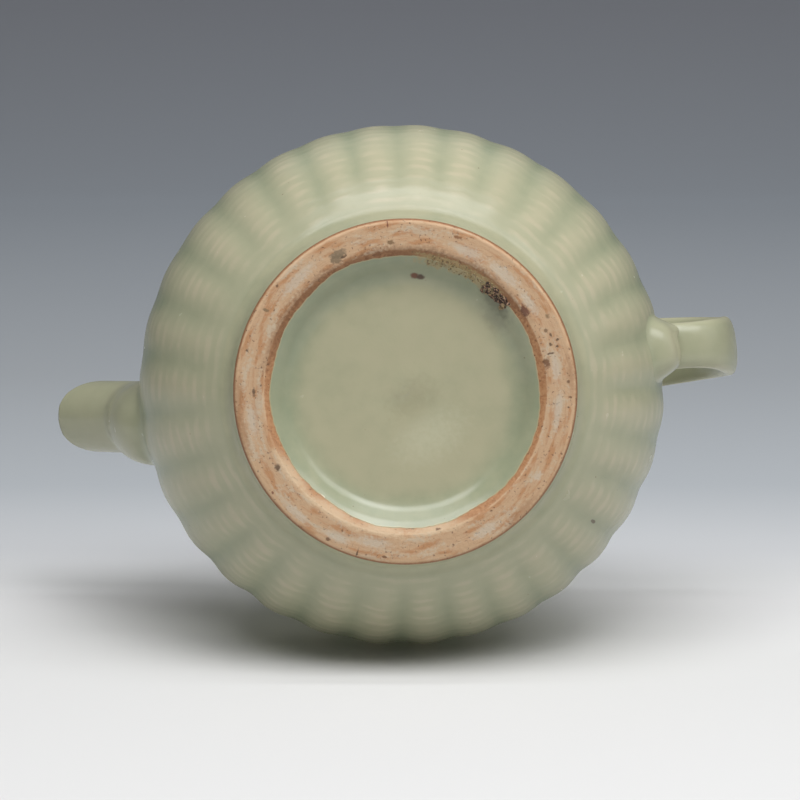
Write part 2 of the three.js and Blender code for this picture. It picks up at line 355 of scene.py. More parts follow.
def spun(profile: np.ndarray, angles: np.ndarray) -> np.ndarray:
    """A turned form: each (radius, height) of the profile goes round at every angle.

    Args:
        profile: radii and heights, (rows, 2).
        angles: angles about +Z from +X, in radians.

    Returns:
        Points (radius cos, radius sin, height), (rows, columns, 3).
    """
    radius, height = profile[:, :1], profile[:, 1:]
    level = np.broadcast_to(height, (len(profile), len(angles)))
    return np.stack([radius * np.cos(angles), radius * np.sin(angles), level], axis=-1)


def drilled(piece: bpy.types.Object, drills: Sequence[bpy.types.Object]) -> None:
    """Cuts closed drills out of a piece's mesh and removes them.

    Args:
        piece: the piece, changed in place.
        drills: closed meshes that pass through it.
    """
    for drill in drills:
        cut = piece.modifiers.new("drilled", "BOOLEAN")
        cut.operation = "DIFFERENCE"
        cut.solver = "MANIFOLD"
        cut.object = drill
    graph = bpy.context.evaluated_depsgraph_get()
    mesh = bpy.data.meshes.new_from_object(piece.evaluated_get(graph))
    mesh.name = piece.name
    mesh.materials.clear()
    mesh.polygons.foreach_set("material_index", np.zeros(len(mesh.polygons), np.int32))
    piece.modifiers.clear()
    piece.data = mesh
    for drill in drills:
        bpy.data.objects.remove(drill)


def drill_bit(start: Triple, end: Triple, radius: float, sides: int = 20) -> bpy.types.Object:
    """A straight round drill from one point to another.

    Args:
        start: centre of one end, in millimetres.
        end: centre of the other.
        radius: its radius.
        sides: columns round it.

    Returns:
        A closed mesh object.
    """
    start_point, end_point = np.array(start), np.array(end)
    along = unit(end_point - start_point)
    aside = unit(np.cross(along, (0.3, 0.9, 0.2)))
    other = np.cross(along, aside)
    turn = round_way(sides)[:, None]
    circle = radius * (np.cos(turn) * aside + np.sin(turn) * other)
    return Skin(np.stack([start_point + circle, end_point + circle]), {"thin": 0.5}).build("drill")


# Finishes


def paint(red: int, green: int, blue: int) -> Tuple[float, float, float, float]:
    """A colour as it shows on a screen, 0 to 255, made the linear colour that a shader takes."""
    shown = np.array([red, green, blue]) / 255.0
    linear = np.where(shown <= 0.04045, shown / 12.92, ((shown + 0.055) / 1.055) ** 2.4)
    return (float(linear[0]), float(linear[1]), float(linear[2]), 1.0)


@dataclass
class Layers:
    """What a finish gives to the surface: colour, roughness and height in millimetres."""

    colour: Socket
    roughness: Socket
    height: Socket


class Recipe:
    """Adds the nodes of one material and joins them."""

    def __init__(self, name: str) -> None:
        """Starts an empty material.

        Args:
            name: the material's name.
        """
        self.material = bpy.data.materials.new(name)
        self.material.use_nodes = True
        self.tree = self.material.node_tree
        self.tree.nodes.clear()
        self.place = self.node("ShaderNodeTexCoord").outputs["Object"]
        self.turning = self.node("ShaderNodeUVMap", uv_map="turning").outputs["UV"]

    def node(self, kind: str, inputs: Optional[dict] = None, **settings: object) -> Shader:
        """Adds a node.

        Args:
            kind: the node's type.
            inputs: sockets by name or number, each a constant or another node's output.
            settings: the node's own settings.

        Returns:
            The node.
        """
        made = self.tree.nodes.new(kind)
        for key, value in settings.items():
            setattr(made, key, value)
        for key, value in (inputs or {}).items():
            if isinstance(value, bpy.types.NodeSocket):
                self.tree.links.new(value, made.inputs[key])
            else:
                made.inputs[key].default_value = value
        return made

    def sum(self, operation: str, *values: Union[float, Socket]) -> Socket:
        """The result of a sum on numbers."""
        return self.node("ShaderNodeMath", dict(enumerate(values)), operation=operation).outputs[0]

    def layer(self, name: str) -> Socket:
        """A number that the mesh holds at each point."""
        return self.node("ShaderNodeAttribute", attribute_name=name).outputs["Fac"]

    def stretched(self, where: Socket, scale: Triple, move: Triple = (0.0, 0.0, 0.0)) -> Socket:
        """A place scaled and moved along each axis."""
        inputs = {"Vector": where, "Scale": scale, "Location": move}
        return self.node("ShaderNodeMapping", inputs).outputs[0]

    def noise(self, size: float, detail: float = 2.0, where: Optional[Socket] = None) -> Socket:
        """Soft cloudy noise.

        Args:
            size: the size of its clouds in millimetres, or in the units of the place given.
            detail: how many finer layers it has.
            where: the place to read it at, the object's own place if none.

        Returns:
            Values round 0.5.
        """
        scale = 1.0 / (size * MM) if where is None else 1.0 / size
        inputs = {"Vector": where or self.place, "Scale": scale, "Detail": detail}
        return self.node("ShaderNodeTexNoise", inputs).outputs["Fac"]

    def turned_noise(self, detail: float, scale: Triple, move: Triple = (0.0, 0.0, 0.0)) -> Socket:
        """Noise on the turning pattern, finer the larger its scale round and across the piece."""
        return self.noise(1.0, detail, self.stretched(self.turning, scale, move))

    def swayed(self, base: Union[float, Socket], noise: Socket, size: float) -> Socket:
        """A number moved up and down by noise: base + size (noise - 0.5)."""
        return self.sum("MULTIPLY_ADD", self.sum("SUBTRACT", noise, 0.5), size, base)

    def step(
        self, value: Socket, low: float, high: float, start: float = 0.0, end: float = 1.0,
    ) -> Socket:
        """A smooth step of a value from start at low to end at high."""
        inputs = {"Value": value, 1: low, 2: high, 3: start, 4: end}
        return self.node("ShaderNodeMapRange", inputs, interpolation_type="SMOOTHSTEP").outputs[0]

    def blend(self, share: Union[float, Socket], under: object, over: object) -> Socket:
        """A colour between two, as far to the second as the share says."""
        made = self.node("ShaderNodeMix", {0: share, 6: under, 7: over}, data_type="RGBA")
        return made.outputs[2]

    def between(self, share: Socket, under: Socket, over: Socket) -> Socket:
        """A number between two, as far to the second as the share says."""
        return self.node("ShaderNodeMix", {0: share, 2: under, 3: over}).outputs[0]

    def mark(self, mark: "Mark", ragged: Socket) -> Socket:
        """Where a mark lies: 1 inside its oval and 0 outside, its edge drawn in and out by noise.

        Args:
            mark: the mark.
            ragged: noise round 0.5.

        Returns:
            The mark's share at each place.
        """
        inputs = {
            "Vector": self.place,
            "Location": tuple(v * MM for v in mark.centre),
            "Rotation": (0.0, 0.0, mark.turn),
            "Scale": tuple(v * MM for v in mark.size),
        }
        local = self.node("ShaderNodeMapping", inputs, vector_type="TEXTURE").outputs[0]
        far = self.node("ShaderNodeVectorMath", {0: local}, operation="LENGTH").outputs["Value"]
        uneven = self.swayed(far, ragged, mark.ragged)
        return self.step(uneven, 1.0 + mark.soft / 2, 1.0 - mark.soft / 2, 0.0, mark.strength)

    def marked(self, colour: Socket, marks: Sequence["Mark"], ragged: Socket) -> Socket:
        """A colour with marks laid over it one after another.

        Args:
            colour: the colour under them.
            marks: the marks in order.
            ragged: noise round 0.5 for their edges.

        Returns:
            The colour.
        """
        for mark in marks:
            colour = self.blend(self.mark(mark, ragged), colour, paint(*mark.colour))
        return colour

    def finish(self, layers: Layers, gloss: float = 0.5) -> bpy.types.Material:
        """Joins the layers to the surface.

        Args:
            layers: colour, roughness and height.
            gloss: the strength of the gloss, 0.5 for common glaze and clay.

        Returns:
            The material.
        """
        inputs = {"Height": layers.height, "Distance": MM, "Strength": 1.0}
        bump = self.node("ShaderNodeBump", inputs)
        surface = self.node("ShaderNodeBsdfPrincipled", {
            "Base Color": layers.colour,
            "Roughness": layers.roughness,
            "Specular IOR Level": gloss,
            "Normal": bump.outputs[0],
        })
        self.node("ShaderNodeOutputMaterial", {"Surface": surface.outputs[0]})
        return self.material


@dataclass(frozen=True)
class Mark:
    """A stain or chip at a known place: an oval with a ragged soft edge, sizes in millimetres.

    Attributes:
        centre: its middle.
        size: half its size along each of its own axes.
        colour: its colour.
        turn: radians that its own axes are turned about +Z.
        strength: how much it covers, up to 1.
        soft: how wide its edge is, as a share of its half size.
        ragged: how far noise moves the edge, as such a share.
    """

    centre: Triple
    size: Triple
    colour: Colour
    turn: float = 0.0
    strength: float = 0.8
    soft: float = 0.5
    ragged: float = 1.2

    @classmethod
    def under(
        cls, place: Pair, reach: Pair, colour: Colour,
        strength: float = 0.8, soft: float = 0.5, ragged: float = 1.2,
    ) -> "Mark":
        """A mark on the underside, placed by its angle about the foot and its radius.

        Args:
            place: degrees about +Z from +X, and millimetres from the foot's middle.
            reach: half its length round the foot, and half its length outwards.
            colour: its colour.
            strength: how much it covers.
            soft: how soft its edge is.
            ragged: how ragged its edge is.

        Returns:
            The mark.
        """
        way, radius = float(np.radians(place[0])), place[1]
        centre = (float(radius * np.cos(way)), float(radius * np.sin(way)), 2.0)
        return cls(centre, (*reach, 6.0), colour, way + np.pi / 2, strength, soft, ragged)

    @classmethod
    def row(cls, angles: Sequence[float], radius: float, *look: object) -> Tuple["Mark", ...]:
        """Marks alike at one radius of the underside, one at each angle."""
        return tuple(cls.under((angle, radius), *look) for angle in angles)


class Pattern(Enum):
    """Which way a glazed piece was worked."""

    RIBBED = "thrown, with turning ridges that show across the ribs"
    PLAIN = "smooth, without turning ridges"


@dataclass(frozen=True)
class Celadon:
    """Pale green celadon glaze: creamy where it runs thin over edges, greener where it pools.

    Attributes:
        pool: colour where it is thick.
        body: colour where it is even.
        edge: colour where it is thin.
        ridge: pinkish colour of the clay that shows through on the turning ridges.
        speck: iron specks.
        roughness: roughness of its soft gloss.
        pattern: how the piece was worked.
        marks: stains in the glaze.
    """

    pool: Colour = (142, 150, 123)
    body: Colour = (167, 167, 139)
    edge: Colour = (180, 175, 147)
    ridge: Colour = (199, 186, 160)
    speck: Colour = (118, 96, 66)
    roughness: float = 0.25
    pattern: Pattern = Pattern.PLAIN
    marks: Tuple[Mark, ...] = ()

    def layers(self, recipe: Recipe) -> Layers:
        """Colour from how thin the glaze is, with clouds, turning ridges, fine pits and marks.

        Args:
            recipe: the material's recipe.

        Returns:
            The glaze's layers.
        """
        cloud = recipe.noise(24.0, 2.0)
        mottle = recipe.noise(4.5, 3.0)
        fine = recipe.noise(0.55, 2.0)
        thin = recipe.swayed(recipe.swayed(recipe.layer("thin"), mottle, 0.35), cloud, 0.35)
        colour = recipe.blend(recipe.step(thin, 0.0, 0.66), paint(*self.pool), paint(*self.body))
        colour = recipe.blend(recipe.step(thin, 0.58, 1.05), colour, paint(*self.edge))
        height = recipe.sum("MULTIPLY", fine, 0.010)
        height = recipe.sum("MULTIPLY_ADD", mottle, 0.06, height)
        if self.pattern is Pattern.RIBBED:
            ridge, lift = self._ridges(recipe, thin)
            colour = recipe.blend(ridge, colour, paint(*self.ridge))
            height = recipe.sum("ADD", height, lift)
        speck = recipe.step(recipe.noise(1.1, 0.0), 0.88, 0.91, 0.0, 0.5)
        colour = recipe.blend(speck, colour, paint(*self.speck))
        colour = recipe.marked(colour, self.marks, recipe.noise(1.4, 2.0))
        return Layers(colour, recipe.swayed(self.roughness, mottle, 0.10), height)

    def _ridges(self, recipe: Recipe, thin: Socket) -> Tuple[Socket, Socket]:
        """Turning ridges: even rounds along the wall that break through only over the ribs.

        The pattern's second coordinate counts ridges, and cos(2 pi v) is 1 on each. Noise stretched
        round the pot bends and breaks them.

        Args:
            recipe: the material's recipe.
            thin: how thin the glaze is.

        Returns:
            How much clay shows through, and the ridges' height.
        """
        broken = recipe.turned_noise(2.0, (0.9, 0.8, 1.0))
        count = recipe.node("ShaderNodeSeparateXYZ", {0: recipe.turning}).outputs[1]
        bend = recipe.sum("MULTIPLY_ADD", broken, 1.1, count)
        wave = recipe.sum("COSINE", recipe.sum("MULTIPLY", bend, 2 * np.pi))
        crest = recipe.step(thin, 0.44, 0.80)
        shown = recipe.sum("MULTIPLY", recipe.step(wave, -0.5, 1.0), crest)
        patchy = recipe.step(recipe.noise(7.0, 2.0), 0.36, 0.64, 0.04, 0.36)
        lift = recipe.sum("MULTIPLY", wave, 0.012)
        return recipe.sum("MULTIPLY", shown, patchy), lift

    def make(self, name: str) -> bpy.types.Material:
        """The glaze as a material."""
        recipe = Recipe(name)
        return recipe.finish(self.layers(recipe), gloss=0.6)


@dataclass(frozen=True)
class BareClay:
    """Unglazed stoneware, burnt orange where the kiln flashed it and pale where it is worn.

    Attributes:
        flashed: orange-brown of the bevels.
        worn: peach of the worn face.
        scoured: orange of the face where it is scoured.
        veil: grey-white of the veils on the face.
        edge: pale clay along the worn edges, partly a painted highlight line along them.
        speck: iron specks and dirt in the pits.
        line: dark line where the glaze begins.
        roughness: its dry roughness.
        marks: stains on it.
    """

    flashed: Colour = (164, 115, 76)
    worn: Colour = (191, 158, 124)
    scoured: Colour = (180, 134, 94)
    veil: Colour = (190, 178, 156)
    edge: Colour = (208, 174, 138)
    speck: Colour = (98, 68, 46)
    line: Colour = (112, 72, 48)
    roughness: float = 0.62
    marks: Tuple[Mark, ...] = ()

    def layers(self, recipe: Recipe) -> Layers:
        """Orange-brown bevels with pale edges, partly wear and partly a painted highlight, and a
        mottled peach face with veils, pits, scratches and marks.

        Args:
            recipe: the material's recipe.

        Returns:
            The clay's layers.
        """
        grain = recipe.noise(0.8, 4.0)
        cloudy = recipe.turned_noise(4.0, (1.1, 2.0, 1.0))
        turned = recipe.turned_noise(3.0, (2.6, 8.0, 1.0))
        veiled = recipe.turned_noise(4.0, (0.75, 1.4, 1.0), (3.7, 1.3, 0.0))
        scratch = recipe.turned_noise(2.0, (4.0, 24.0, 1.0), (1.9, 5.1, 0.0))
        rub = recipe.swayed(recipe.layer("worn"), grain, 0.6)
        flashed, scoured = paint(*self.flashed), paint(*self.scoured)
        bevel = recipe.blend(recipe.step(grain, 0.35, 0.65), flashed, scoured)
        face = recipe.blend(recipe.step(cloudy, 0.38, 0.52), scoured, paint(*self.worn))
        face = recipe.blend(recipe.step(turned, 0.50, 0.72, 0.0, 0.24), face, flashed)
        face = recipe.blend(recipe.step(scratch, 0.60, 0.74, 0.0, 0.28), face, paint(*self.edge))
        dusty = recipe.swayed(veiled, grain, 0.5)
        face = recipe.blend(recipe.step(dusty, 0.51, 0.69, 0.0, 0.60), face, paint(*self.veil))
        colour = recipe.blend(recipe.step(rub, 0.3, 0.7), bevel, face)
        # Pale worn edges, partly a painted highlight line along the bevels.
        uneven = recipe.step(cloudy, 0.35, 0.6, 0.3, 0.8)
        pale_edge_and_highlight = recipe.sum("MULTIPLY", recipe.layer("edge"), uneven)
        colour = recipe.blend(pale_edge_and_highlight, colour, paint(*self.edge))
        pits = recipe.step(recipe.noise(0.7, 5.0), 0.59, 0.68, 0.0, 0.75)
        near = recipe.step(recipe.noise(3.4, 3.0), 0.43, 0.55)
        colour = recipe.blend(recipe.sum("MULTIPLY", pits, near), colour, paint(*self.speck))
        colour = recipe.marked(colour, self.marks, recipe.noise(0.8, 5.0))
        rim = recipe.sum("MULTIPLY", recipe.layer("rim"), 0.75)
        colour = recipe.blend(rim, colour, paint(*self.line))
        rough = recipe.swayed(self.roughness, grain, 0.16)
        height = recipe.sum("MULTIPLY_ADD", turned, 0.05, recipe.sum("MULTIPLY", grain, 0.12))
        sunk = recipe.sum("MULTIPLY_ADD", pits, -0.06, height)
        return Layers(colour, rough, sunk)

    def make(self, name: str) -> bpy.types.Material:
        """The clay as a material."""
        recipe = Recipe(name)
        return recipe.finish(self.layers(recipe), gloss=0.3)


@dataclass(frozen=True)
class FootFinish:
    """Bare clay that meets the glaze in a ragged edge, for the foot ring and its glazed recess."""

    clay: BareClay
    glaze: Celadon
    fringe: Colour = (188, 172, 132)

    def make(self, name: str) -> bpy.types.Material:
        """The layers of both, chosen by the mesh's bare layer, whose edge noise makes ragged.

        Args:
            name: the material's name.

        Returns:
            The material.
        """
        recipe = Recipe(name)
        clay, glaze = self.clay.layers(recipe), self.glaze.layers(recipe)
        bare = recipe.swayed(recipe.layer("bare"), recipe.noise(2.2, 4.0), 0.6)
        share = recipe.step(bare, 0.44, 0.56)
        colour = recipe.blend(share, glaze.colour, clay.colour)
        seam = recipe.sum("MULTIPLY", recipe.step(bare, 0.22, 0.42), recipe.step(bare, 0.58, 0.46))
        colour = recipe.blend(recipe.sum("MULTIPLY", seam, 0.5), colour, paint(*self.fringe))
        rough = recipe.between(share, glaze.roughness, clay.roughness)
        height = recipe.between(share, recipe.sum("ADD", glaze.height, 0.12), clay.height)
        return recipe.finish(Layers(colour, rough, height), gloss=0.5)


@dataclass(frozen=True)
class KilnGrit:
    """Crusty dark kiln grit, burnt on to the clay."""

    dark: Colour = (62, 46, 38)
    light: Colour = (172, 138, 112)
    sand: Colour = (176, 156, 112)
    roughness: float = 0.55

    def make(self, name: str) -> bpy.types.Material:
        """Dark crust with pale grains, sandy where the mesh's worn layer says, as a material.

        Args:
            name: the material's name.

        Returns:
            The material.
        """
        recipe = Recipe(name)
        grain = recipe.noise(0.5, 3.0)
        colour = recipe.blend(recipe.step(grain, 0.47, 0.60), paint(*self.dark), paint(*self.light))
        colour = recipe.blend(recipe.layer("worn"), colour, paint(*self.sand))
        rough = recipe.swayed(self.roughness, grain, 0.3)
        return recipe.finish(Layers(colour, rough, recipe.sum("MULTIPLY", grain, 0.4)), gloss=0.5)


# The pot's parts


@dataclass(frozen=True)
class PotForm:
    """The outside of the pot's body, which everything luted on to it follows. Millimetres.

    The outline is half an ellipse below the belly and half another above it. Its ribs are lobes
    pressed apart by soft grooves, a little uneven in place and depth as a hand leaves them.

    Attributes:
        rib_lean: how much deeper the grooves are towards +Y, as a share.
        rib_softness: how rounded the grooves' bottoms are.
        rib_run_in: height over which they begin above the foot.
        ovalness: share by which the belly reaches further along X than a circle.
        foot_ovalness: the same at the foot.
        columns_per_rib: the mesh's columns on each rib.
        sink: how far luted pieces reach into the body.
        ridge_pitch: distance between the turning ridges.
        even_shift: degrees that all the ribs are turned.
        waves: slow waves in the ribs' places: how many round, degrees, and phase in degrees.
    """

    belly_radius: float = 65.0
    belly_height: float = 44.0
    body_height: float = 82.0
    foot_height: float = 6.0
    seat_radius: float = 44.4
    neck_radius: float = 27.5
    rib_count: int = 31
    rib_depth: float = 0.5
    rib_lean: float = 0.42
    rib_softness: float = 0.45
    rib_run_in: float = 9.0
    ovalness: float = 0.005
    foot_ovalness: float = -0.003
    columns_per_rib: int = 12
    sink: float = 1.2
    ridge_pitch: float = 3.6
    even_shift: float = 0.37
    waves: Tuple[Triple, ...] = (
        (1, 1.74, -101), (2, 1.40, 84), (3, 0.45, 16), (4, 0.35, 166), (5, 0.26, -107),
    )

    @property
    def lower_reach(self) -> float:
        """Half-height of the lower ellipse."""
        drop = self.belly_height - self.foot_height
        return drop / float(np.sqrt(1 - (self.seat_radius / self.belly_radius) ** 2))

    @property
    def upper_reach(self) -> float:
        """Half-height of the upper ellipse."""
        rise = self.body_height - self.belly_height
        return rise / float(np.sqrt(1 - (self.neck_radius / self.belly_radius) ** 2))

    @property
    def even_angles(self) -> np.ndarray:
        """The columns' angles as if every rib were alike."""
        return round_way(self.rib_count * self.columns_per_rib)

    def drift(self, angle: np.ndarray) -> np.ndarray:
        """How far the ribs stand from even places: slow waves (count, size, phase), in radians.

        Args:
            angle: angles as if every rib were alike.

        Returns:
            What is to be added to them, in radians.
        """
        total = np.full(np.shape(angle), self.even_shift)
        for count, size, phase in self.waves:
            total = total + size * np.cos(count * angle - np.radians(phase))
        return np.radians(total)

    @property
    def angles(self) -> np.ndarray:
        """The columns' real angles."""
        return self.even_angles + self.drift(self.even_angles)

    def even_angle(self, angle: np.ndarray) -> np.ndarray:
        """The even angle whose real one is given, found by going back three times by the drift.

        Args:
            angle: real angles.

        Returns:
            Angles as if every rib were alike.
        """
        guess = angle
        for _ in range(3):
            guess = angle - self.drift(guess)
        return guess

    def valley(self, even_angle: np.ndarray) -> np.ndarray:
        """How far into a groove an even angle lies: 0 on a crest and 1 in the middle of a groove.

        It is 1 - |cos| of half the ribs' angle, with the cosine's corner rounded off as
        sqrt(cos^2 + soft^2).

        Args:
            even_angle: angles as if every rib were alike.

        Returns:
            The shares.
        """
        half = self.rib_count * even_angle / 2
        soft = self.rib_softness
        return 1 - (np.sqrt(np.cos(half) ** 2 + soft**2) - soft) / (np.sqrt(1 + soft**2) - soft)

    def groove(self, even_angle: np.ndarray) -> np.ndarray:
        """Depth share of the grooves: each has a depth of its own, and they are deepest towards +Y.

        Args:
            even_angle: angles as if every rib were alike.

        Returns:
            Shares of the rib depth.
        """
        own = np.random.default_rng(31).uniform(0.7, 1.3, self.rib_count)
        middle = (np.arange(self.rib_count) + 0.5) * 2 * np.pi / self.rib_count
        own *= 1 + self.rib_lean * np.sin(middle)
        passed = self.rib_count * even_angle / (2 * np.pi)
        which = np.floor(np.mod(passed, self.rib_count)).astype(int)
        return self.valley(even_angle) * own[np.minimum(which, self.rib_count - 1)]

    def outline(self, height: np.ndarray) -> np.ndarray:
        """Radius over the crests at a height: belly radius times sqrt(1 - (rise / reach)^2)."""
        rise = np.asarray(height, float) - self.belly_height
        reach = np.where(rise < 0, self.lower_reach, self.upper_reach)
        return self.belly_radius * np.sqrt(np.maximum(1 - (rise / reach) ** 2, 1e-6))

    def press(self, height: np.ndarray) -> np.ndarray:
        """Depth of the ribs at a height: none at the foot and at the neck."""
        from_foot = eased(self.foot_height - 1.5, self.foot_height + self.rib_run_in, height)
        from_neck = eased(self.body_height, self.body_height - 6.0, height)
        return self.rib_depth * from_foot * from_neck

    def oval(self, angle: np.ndarray, height: np.ndarray) -> np.ndarray:
        """A hair off round: 1 + share cos 2 angle, the share changing from foot to belly."""
        risen = eased(self.foot_height, self.belly_height, height)
        share = self.foot_ovalness + (self.ovalness - self.foot_ovalness) * risen
        return 1 + share * np.cos(2 * angle)

    def radius(self, angle: np.ndarray, height: np.ndarray) -> np.ndarray:
        """Radius of the ribbed outside at real angles and heights."""
        pressed = self.press(height) * self.groove(self.even_angle(angle))
        return self.outline(height) * self.oval(angle, height) - pressed

    def gap(self, points: np.ndarray) -> np.ndarray:
        """How far points stand out from the body's surface, measured level; negative inside it."""
        angle = np.arctan2(points[..., 1], points[..., 0])
        return np.hypot(points[..., 0], points[..., 1]) - self.radius(angle, points[..., 2])

    def facing(self, points: np.ndarray, reach: float = 0.6) -> np.ndarray:
        """The body's outward direction near points: the slope of gap, read over a short reach."""
        steps = np.eye(3) * reach
        slope = [self.gap(points + step) - self.gap(points - step) for step in steps]
        return unit(np.stack(slope, axis=-1))

    def dropped(self, points: np.ndarray) -> np.ndarray:
        """Points moved level on to the body's surface."""
        angle = np.arctan2(points[..., 1], points[..., 0])
        radius = self.radius(angle, points[..., 2])
        return np.stack([radius * np.cos(angle), radius * np.sin(angle), points[..., 2]], axis=-1)

    def ringed(self, profile: np.ndarray) -> np.ndarray:
        """A profile of (radius, height) spun with the ribs, the drift and the oval.

        Args:
            profile: (rows, 2), where a third column, if there is one, scales the ribs' depth.

        Returns:
            Points, (rows, columns, 3).
        """
        grid = spun(profile[:, :2], self.angles)
        radius, height = profile[:, :1], profile[:, 1:2]
        share = profile[:, 2:3] if profile.shape[1] > 2 else 1.0
        pressed = self.press(height) * share * self.groove(self.even_angles)
        scale = self.oval(self.angles, height) - pressed / np.maximum(radius, 1e-6)
        grid[..., 0] *= scale
        grid[..., 1] *= scale
        return grid

    def rooted(
        self, grid: np.ndarray, width: float, steps: int = 9,
    ) -> Tuple[np.ndarray, np.ndarray]:
        """The rows that join a tube to the body with a soft valley of luted clay.

        Each column of the tube is followed out of the body. The valley is a quadratic curve from a
        point on the body, aside from where the column crosses the surface, by way of the crossing,
        to a point further along the column.

        Args:
            grid: the tube's closely spaced rows, from inside the body outwards.
            width: how wide the valley is on both sides, in millimetres.
            steps: rows across the valley.

        Returns:
            The rows, the first sunk in the wall, and the fractional row of each column where the
            tube goes on.
        """
        cross = last_rise(self.gap(grid))
        here = read_rows(grid, cross[None])[0]
        stride = np.linalg.norm(read_rows(grid, cross[None] + 1.0)[0] - here, axis=-1)
        onward = cross + width / np.maximum(stride, 1e-6)
        beyond = read_rows(grid, onward[None])[0]
        ahead = unit(beyond - here)
        onto = unit(np.roll(here, -1, axis=0) - np.roll(here, 1, axis=0))
        side = unit(np.cross(ahead, onto))
        side *= np.sign(leaning(side, here - here.mean(axis=0)))[:, None]
        out = self.facing(here)
        away = unit(side - leaning(side, out)[:, None] * out)
        foot = self.dropped(here + width * away)
        return np.concatenate([self.sunk(foot)[None], bent(foot, here, beyond, steps)]), onward

    def sunk(self, row: np.ndarray) -> np.ndarray:
        """A row of points moved a little way into the body, where it doesn't show."""
        return row - self.sink * self.facing(row)


